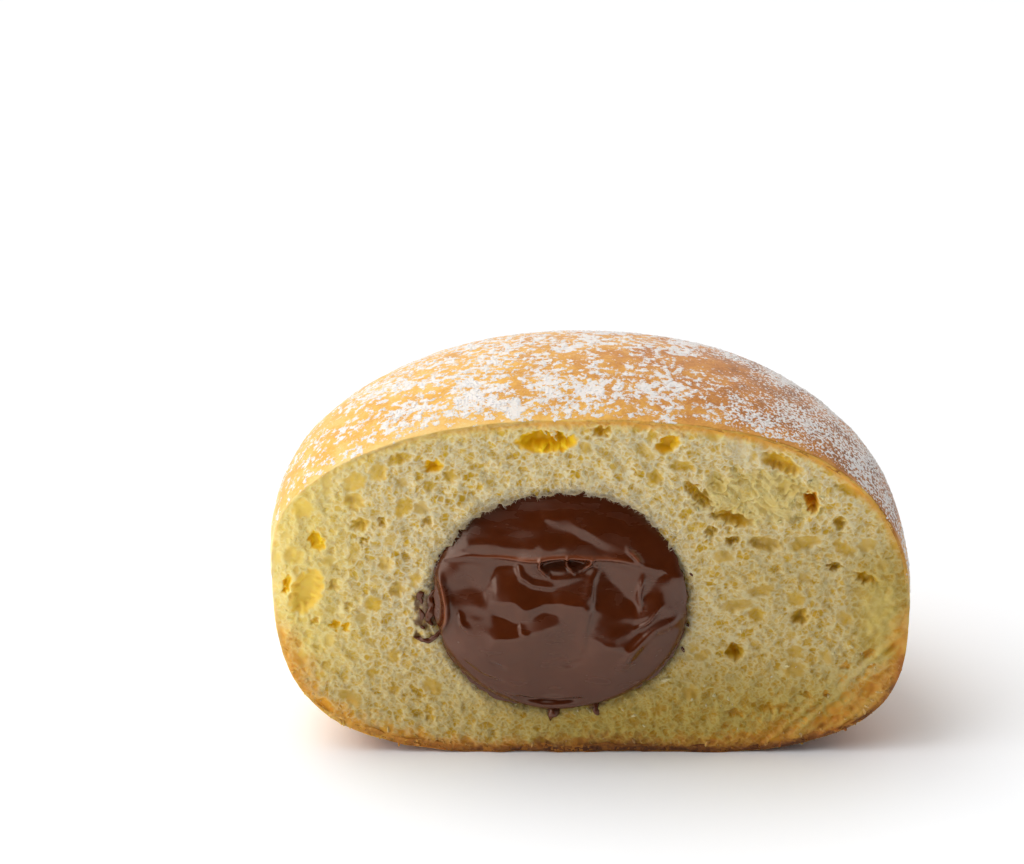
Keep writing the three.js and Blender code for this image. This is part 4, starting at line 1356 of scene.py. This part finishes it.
def fibre_tree(name):
    """Thin bent strands that stand and lie on a frayed surface."""
    tree, given = new_scatter(name)
    points = spread_points(tree, given, named_value(tree, "fray"))
    cone = {
        "Vertices": 3,
        "Side Segments": 2,
        "Fill Segments": 1,
        "Radius Top": 0.02,
        "Radius Bottom": 0.075,
        "Depth": 1.0,
    }
    strand = add_node(tree, "GeometryNodeMeshCone", cone).outputs["Mesh"]
    place = add_node(tree, "GeometryNodeInputPosition").outputs[0]
    along = add_node(tree, "ShaderNodeSeparateXYZ", {0: place}).outputs["Z"]
    bend = maths(tree, "MULTIPLY", maths(tree, "MULTIPLY", along, along), 0.35)
    bent = add_node(tree, "ShaderNodeCombineXYZ", {"X": bend}).outputs[0]
    strand = add_node(tree, "GeometryNodeSetPosition", {"Geometry": strand, "Offset": bent}).outputs[0]
    size = maths(tree, "MULTIPLY", random_value(tree, 0.35, 1.0, 5), given["Size"])
    tilt = ((0.6, 0.0, 0.0), (1.6, FULL_TURN, FULL_TURN))
    place_shapes(tree, given, points, tilt, {"Instance": strand, "Scale": size})
    return tree


def flake_tree(name):
    """Ragged pale flakes on a surface, more where it is flaky."""
    tree, given = new_scatter(name)
    points = spread_points(tree, given, named_value(tree, "flaky"))
    shapes = {
        "Instance": clump_shapes(tree, 8, 0.45, 6),
        "Pick Instance": True,
        "Scale": random_scale(tree, given, 2.0, 0.3, (0.6, 0.3, 0.25), (1.5, 0.7, 0.6)),
    }
    tilt = ((-0.9, -0.9, 0.0), (0.9, 0.9, FULL_TURN))
    place_shapes(tree, given, points, tilt, shapes, (("deep", 0.0), ("yolk", 0.3)))
    return tree


def scatter(name, tree, source, *values):
    """A plain mesh piece from a Geometry Nodes tree over the surface of another piece."""
    piece = bpy.data.objects.new(name, source.data)
    bpy.context.scene.collection.objects.link(piece)
    modifier = piece.modifiers.new(name, "NODES")
    modifier.node_group = tree
    sockets = {item.name: item.identifier for item in tree.interface.items_tree if item.in_out == "INPUT"}
    for key, value in zip(SCATTER_INPUTS, values):
        modifier[sockets[key]] = value
    make_plain(piece)
    return piece


def fix(piece, slot, *nodes):
    """Lets a piece move with the bun and stand for solids. Its slot is not used."""
    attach(piece, BODY)
    if nodes:
        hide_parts(*nodes)


# The stage

# How far the middle of the picture lies from the foot of the cut, across and up.
PICTURE_ACROSS = -11.05
PICTURE_UP = 45.36
SENSOR_WIDTH = 36.0
FLOOR_REACH = 4000.0
FLOOR_DROP = 0.02
LIGHT_AIM = Vector((0, 0, 25)) * MM
KEY_ANGLE = math.radians(50)


def add_camera(scene, settings):
    """A camera that sees the half as it stands, a little from above."""
    camera = bpy.data.objects.new("camera", bpy.data.cameras.new("camera"))
    camera.data.lens = settings.lens
    camera.data.sensor_width = SENSOR_WIDTH
    camera.data.clip_start = 10 * MM
    camera.rotation_euler = (QUARTER_TURN - settings.elevation, 0, 0)
    foot = Vector((PICTURE_ACROSS, -CUT_OFFSET, 0)) * MM
    ahead = Vector((0, math.cos(settings.elevation), -math.sin(settings.elevation)))
    up = Vector((0, math.sin(settings.elevation), math.cos(settings.elevation)))
    camera.location = foot - settings.distance * ahead + PICTURE_UP * MM * up
    scene.collection.objects.link(camera)
    scene.camera = camera


def add_floor(settings):
    """A wide pale floor."""
    material, tree, shader = new_material("pale floor")
    shade = tuple(value * 0.99 for value in settings.floor)
    look = {
        "Base Color": mixed(tree, cloud(tree, place_on(tree), 6.0), shade, settings.floor),
        "Roughness": 0.6,
        "Specular IOR Level": 0.2,
    }
    give(tree, shader, look)
    corners = np.array([(-1, -1, 0), (1, -1, 0), (1, 1, 0), (-1, 1, 0)]) * FLOOR_REACH
    corners[:, 2] = -FLOOR_DROP
    floor = make_piece("floor", corners, [np.array([[0, 1, 2, 3]])], material)


def add_light(scene, name, kind, place, strength):
    """A light at a place in millimetres that points at the bun."""
    light = bpy.data.lights.new(name, kind)
    light.energy = strength
    lamp = bpy.data.objects.new(name, light)
    lamp.location = Vector(place) * MM
    lamp.rotation_euler = (LIGHT_AIM - lamp.location).to_track_quat("-Z", "Y").to_euler()
    scene.collection.objects.link(lamp)
    return light


def add_lights(scene, settings):
    """A soft sun at the left, small lights left of the cut and above it, and a room with a dark front."""
    add_light(scene, "key", "SUN", (-500, 80, 860), settings.key).angle = KEY_ANGLE
    add_light(scene, "fill", "AREA", (-270, -150, 170), settings.fill).size = 260 * MM
    add_light(scene, "top", "AREA", (-160, -330, 680), settings.top).size = 400 * MM
    world = bpy.data.worlds.new("room")
    world.use_nodes = True
    tree = world.node_tree
    back = next(node for node in tree.nodes if node.type == "BACKGROUND")
    way = add_node(tree, "ShaderNodeTexCoord").outputs["Generated"]
    parts = add_node(tree, "ShaderNodeSeparateXYZ", {0: way})
    behind = mapped(tree, parts.outputs["Y"], -0.6, 0.5)
    left = mapped(tree, parts.outputs["X"], -0.3, -1.0, 0.0, 0.6)
    bright = maths(tree, "MAXIMUM", behind, left)
    tree.links.new(mixed(tree, bright, (0.02, 0.02, 0.02), (0.8, 0.8, 0.8)), back.inputs["Color"])
    back.inputs["Strength"].default_value = 1.3
    scene.world = world
    scene.view_settings.view_transform = "Standard"
    scene.view_settings.look = "None"


# Operators


class DOUGHNUT_OT_crust(bpy.types.Operator):
    """Makes the fried skin"""

    bl_idname = "doughnut.crust"
    bl_label = "Crust"

    def execute(self, context):
        scene = context.scene
        fix(make_crust(scene.doughnut_crust, scene.doughnut_sugar), "dough", "dough")
        return {"FINISHED"}


class DOUGHNUT_OT_crumb(bpy.types.Operator):
    """Makes the open crumb behind the cut, with torn strands and loose flakes on it"""

    bl_idname = "doughnut.crumb"
    bl_label = "Crumb"

    def execute(self, context):
        settings = context.scene.doughnut_crumb
        crumb = make_crumb(settings, context.scene.doughnut_crust)
        fix(crumb, "dough", "dough")
        bits = [
            ("crumb_fibres", fibre_tree, settings.fibres, settings.fibre_length),
            ("crumb_flakes", flake_tree, settings.flakes, settings.flake_size),
        ]
        material = crumb.data.materials[0]
        for name, tree, count, size in bits:
            fix(scatter(name, tree(name), crumb, count, size, settings.seed, material), "dough")
        return {"FINISHED"}


class DOUGHNUT_OT_cream(bpy.types.Operator):
    """Makes the chocolate hazelnut cream, with its smears on the crumb"""

    bl_idname = "doughnut.cream"
    bl_label = "Cream"

    def execute(self, context):
        cream = make_cream(context.scene.doughnut_cream)
        fix(cream, "cream", "cream")
        context.view_layer.update()
        fix(make_smears(bpy.data.objects["crumb"], cream.data.materials[0]), "cream")
        return {"FINISHED"}


class DOUGHNUT_OT_sugar(bpy.types.Operator):
    """Scatters powdered sugar over the crust"""

    bl_idname = "doughnut.sugar"
    bl_label = "Sugar"

    def execute(self, context):
        settings = context.scene.doughnut_sugar
        crust = bpy.data.objects["crust"]
        material = sugar_material(settings)
        kinds = [
            ("sugar_clumps", 6, 0.55, 0.9, settings.clumps, settings.clump_size),
            ("sugar_grains", 4, 0.8, 0.4, settings.grains, settings.grain_size),
        ]
        for number, (name, sides, flatness, sharpness, count, size) in enumerate(kinds):
            tree = sugar_tree(name, sides, flatness, sharpness)
            fix(scatter(name, tree, crust, count, size, settings.seed + number, material), "dough")
        return {"FINISHED"}


class DOUGHNUT_OT_stage(bpy.types.Operator):
    """Sets up the camera, the floor and the light"""

    bl_idname = "doughnut.stage"
    bl_label = "Stage"

    def execute(self, context):
        settings = context.scene.doughnut_stage
        add_camera(context.scene, settings)
        add_floor(settings)
        add_lights(context.scene, settings)
        return {"FINISHED"}


# The panel and what is registered


class DOUGHNUT_PT_panel(bpy.types.Panel):
    """Lists the steps that make the doughnut"""

    bl_idname = "DOUGHNUT_PT_panel"
    bl_label = "Filled doughnut half"
    bl_space_type = "VIEW_3D"
    bl_region_type = "UI"
    bl_category = "Doughnut"

    def draw(self, context):
        for step in STEPS:
            self.layout.operator(step.bl_idname)
        for name in SETTINGS:
            box = self.layout.box()
            group = getattr(context.scene, name)
            for key in group.__annotations__:
                box.prop(group, key)


SETTINGS = {
    "doughnut_crust": CrustSettings,
    "doughnut_crumb": CrumbSettings,
    "doughnut_cream": CreamSettings,
    "doughnut_sugar": SugarSettings,
    "doughnut_stage": StageSettings,
}
STEPS = [
    DOUGHNUT_OT_crust,
    DOUGHNUT_OT_crumb,
    DOUGHNUT_OT_cream,
    DOUGHNUT_OT_sugar,
    DOUGHNUT_OT_stage,
]


def register():
    """Makes the settings, the operators and the panel known."""
    for kind in (*SETTINGS.values(), *STEPS, DOUGHNUT_PT_panel):
        bpy.utils.register_class(kind)
    for name, kind in SETTINGS.items():
        setattr(bpy.types.Scene, name, PointerProperty(type=kind))


def unregister():
    """Takes them away again."""
    for name in SETTINGS:
        delattr(bpy.types.Scene, name)
    for kind in reversed((*SETTINGS.values(), *STEPS, DOUGHNUT_PT_panel)):
        bpy.utils.unregister_class(kind)


def main():
    """Makes the doughnut and its stage."""
    register()
    bpy.ops.doughnut.crust()
    bpy.ops.doughnut.crumb()
    bpy.ops.doughnut.cream()
    bpy.ops.doughnut.sugar()
    bpy.ops.doughnut.stage()


if __name__ == "__main__":
    main()
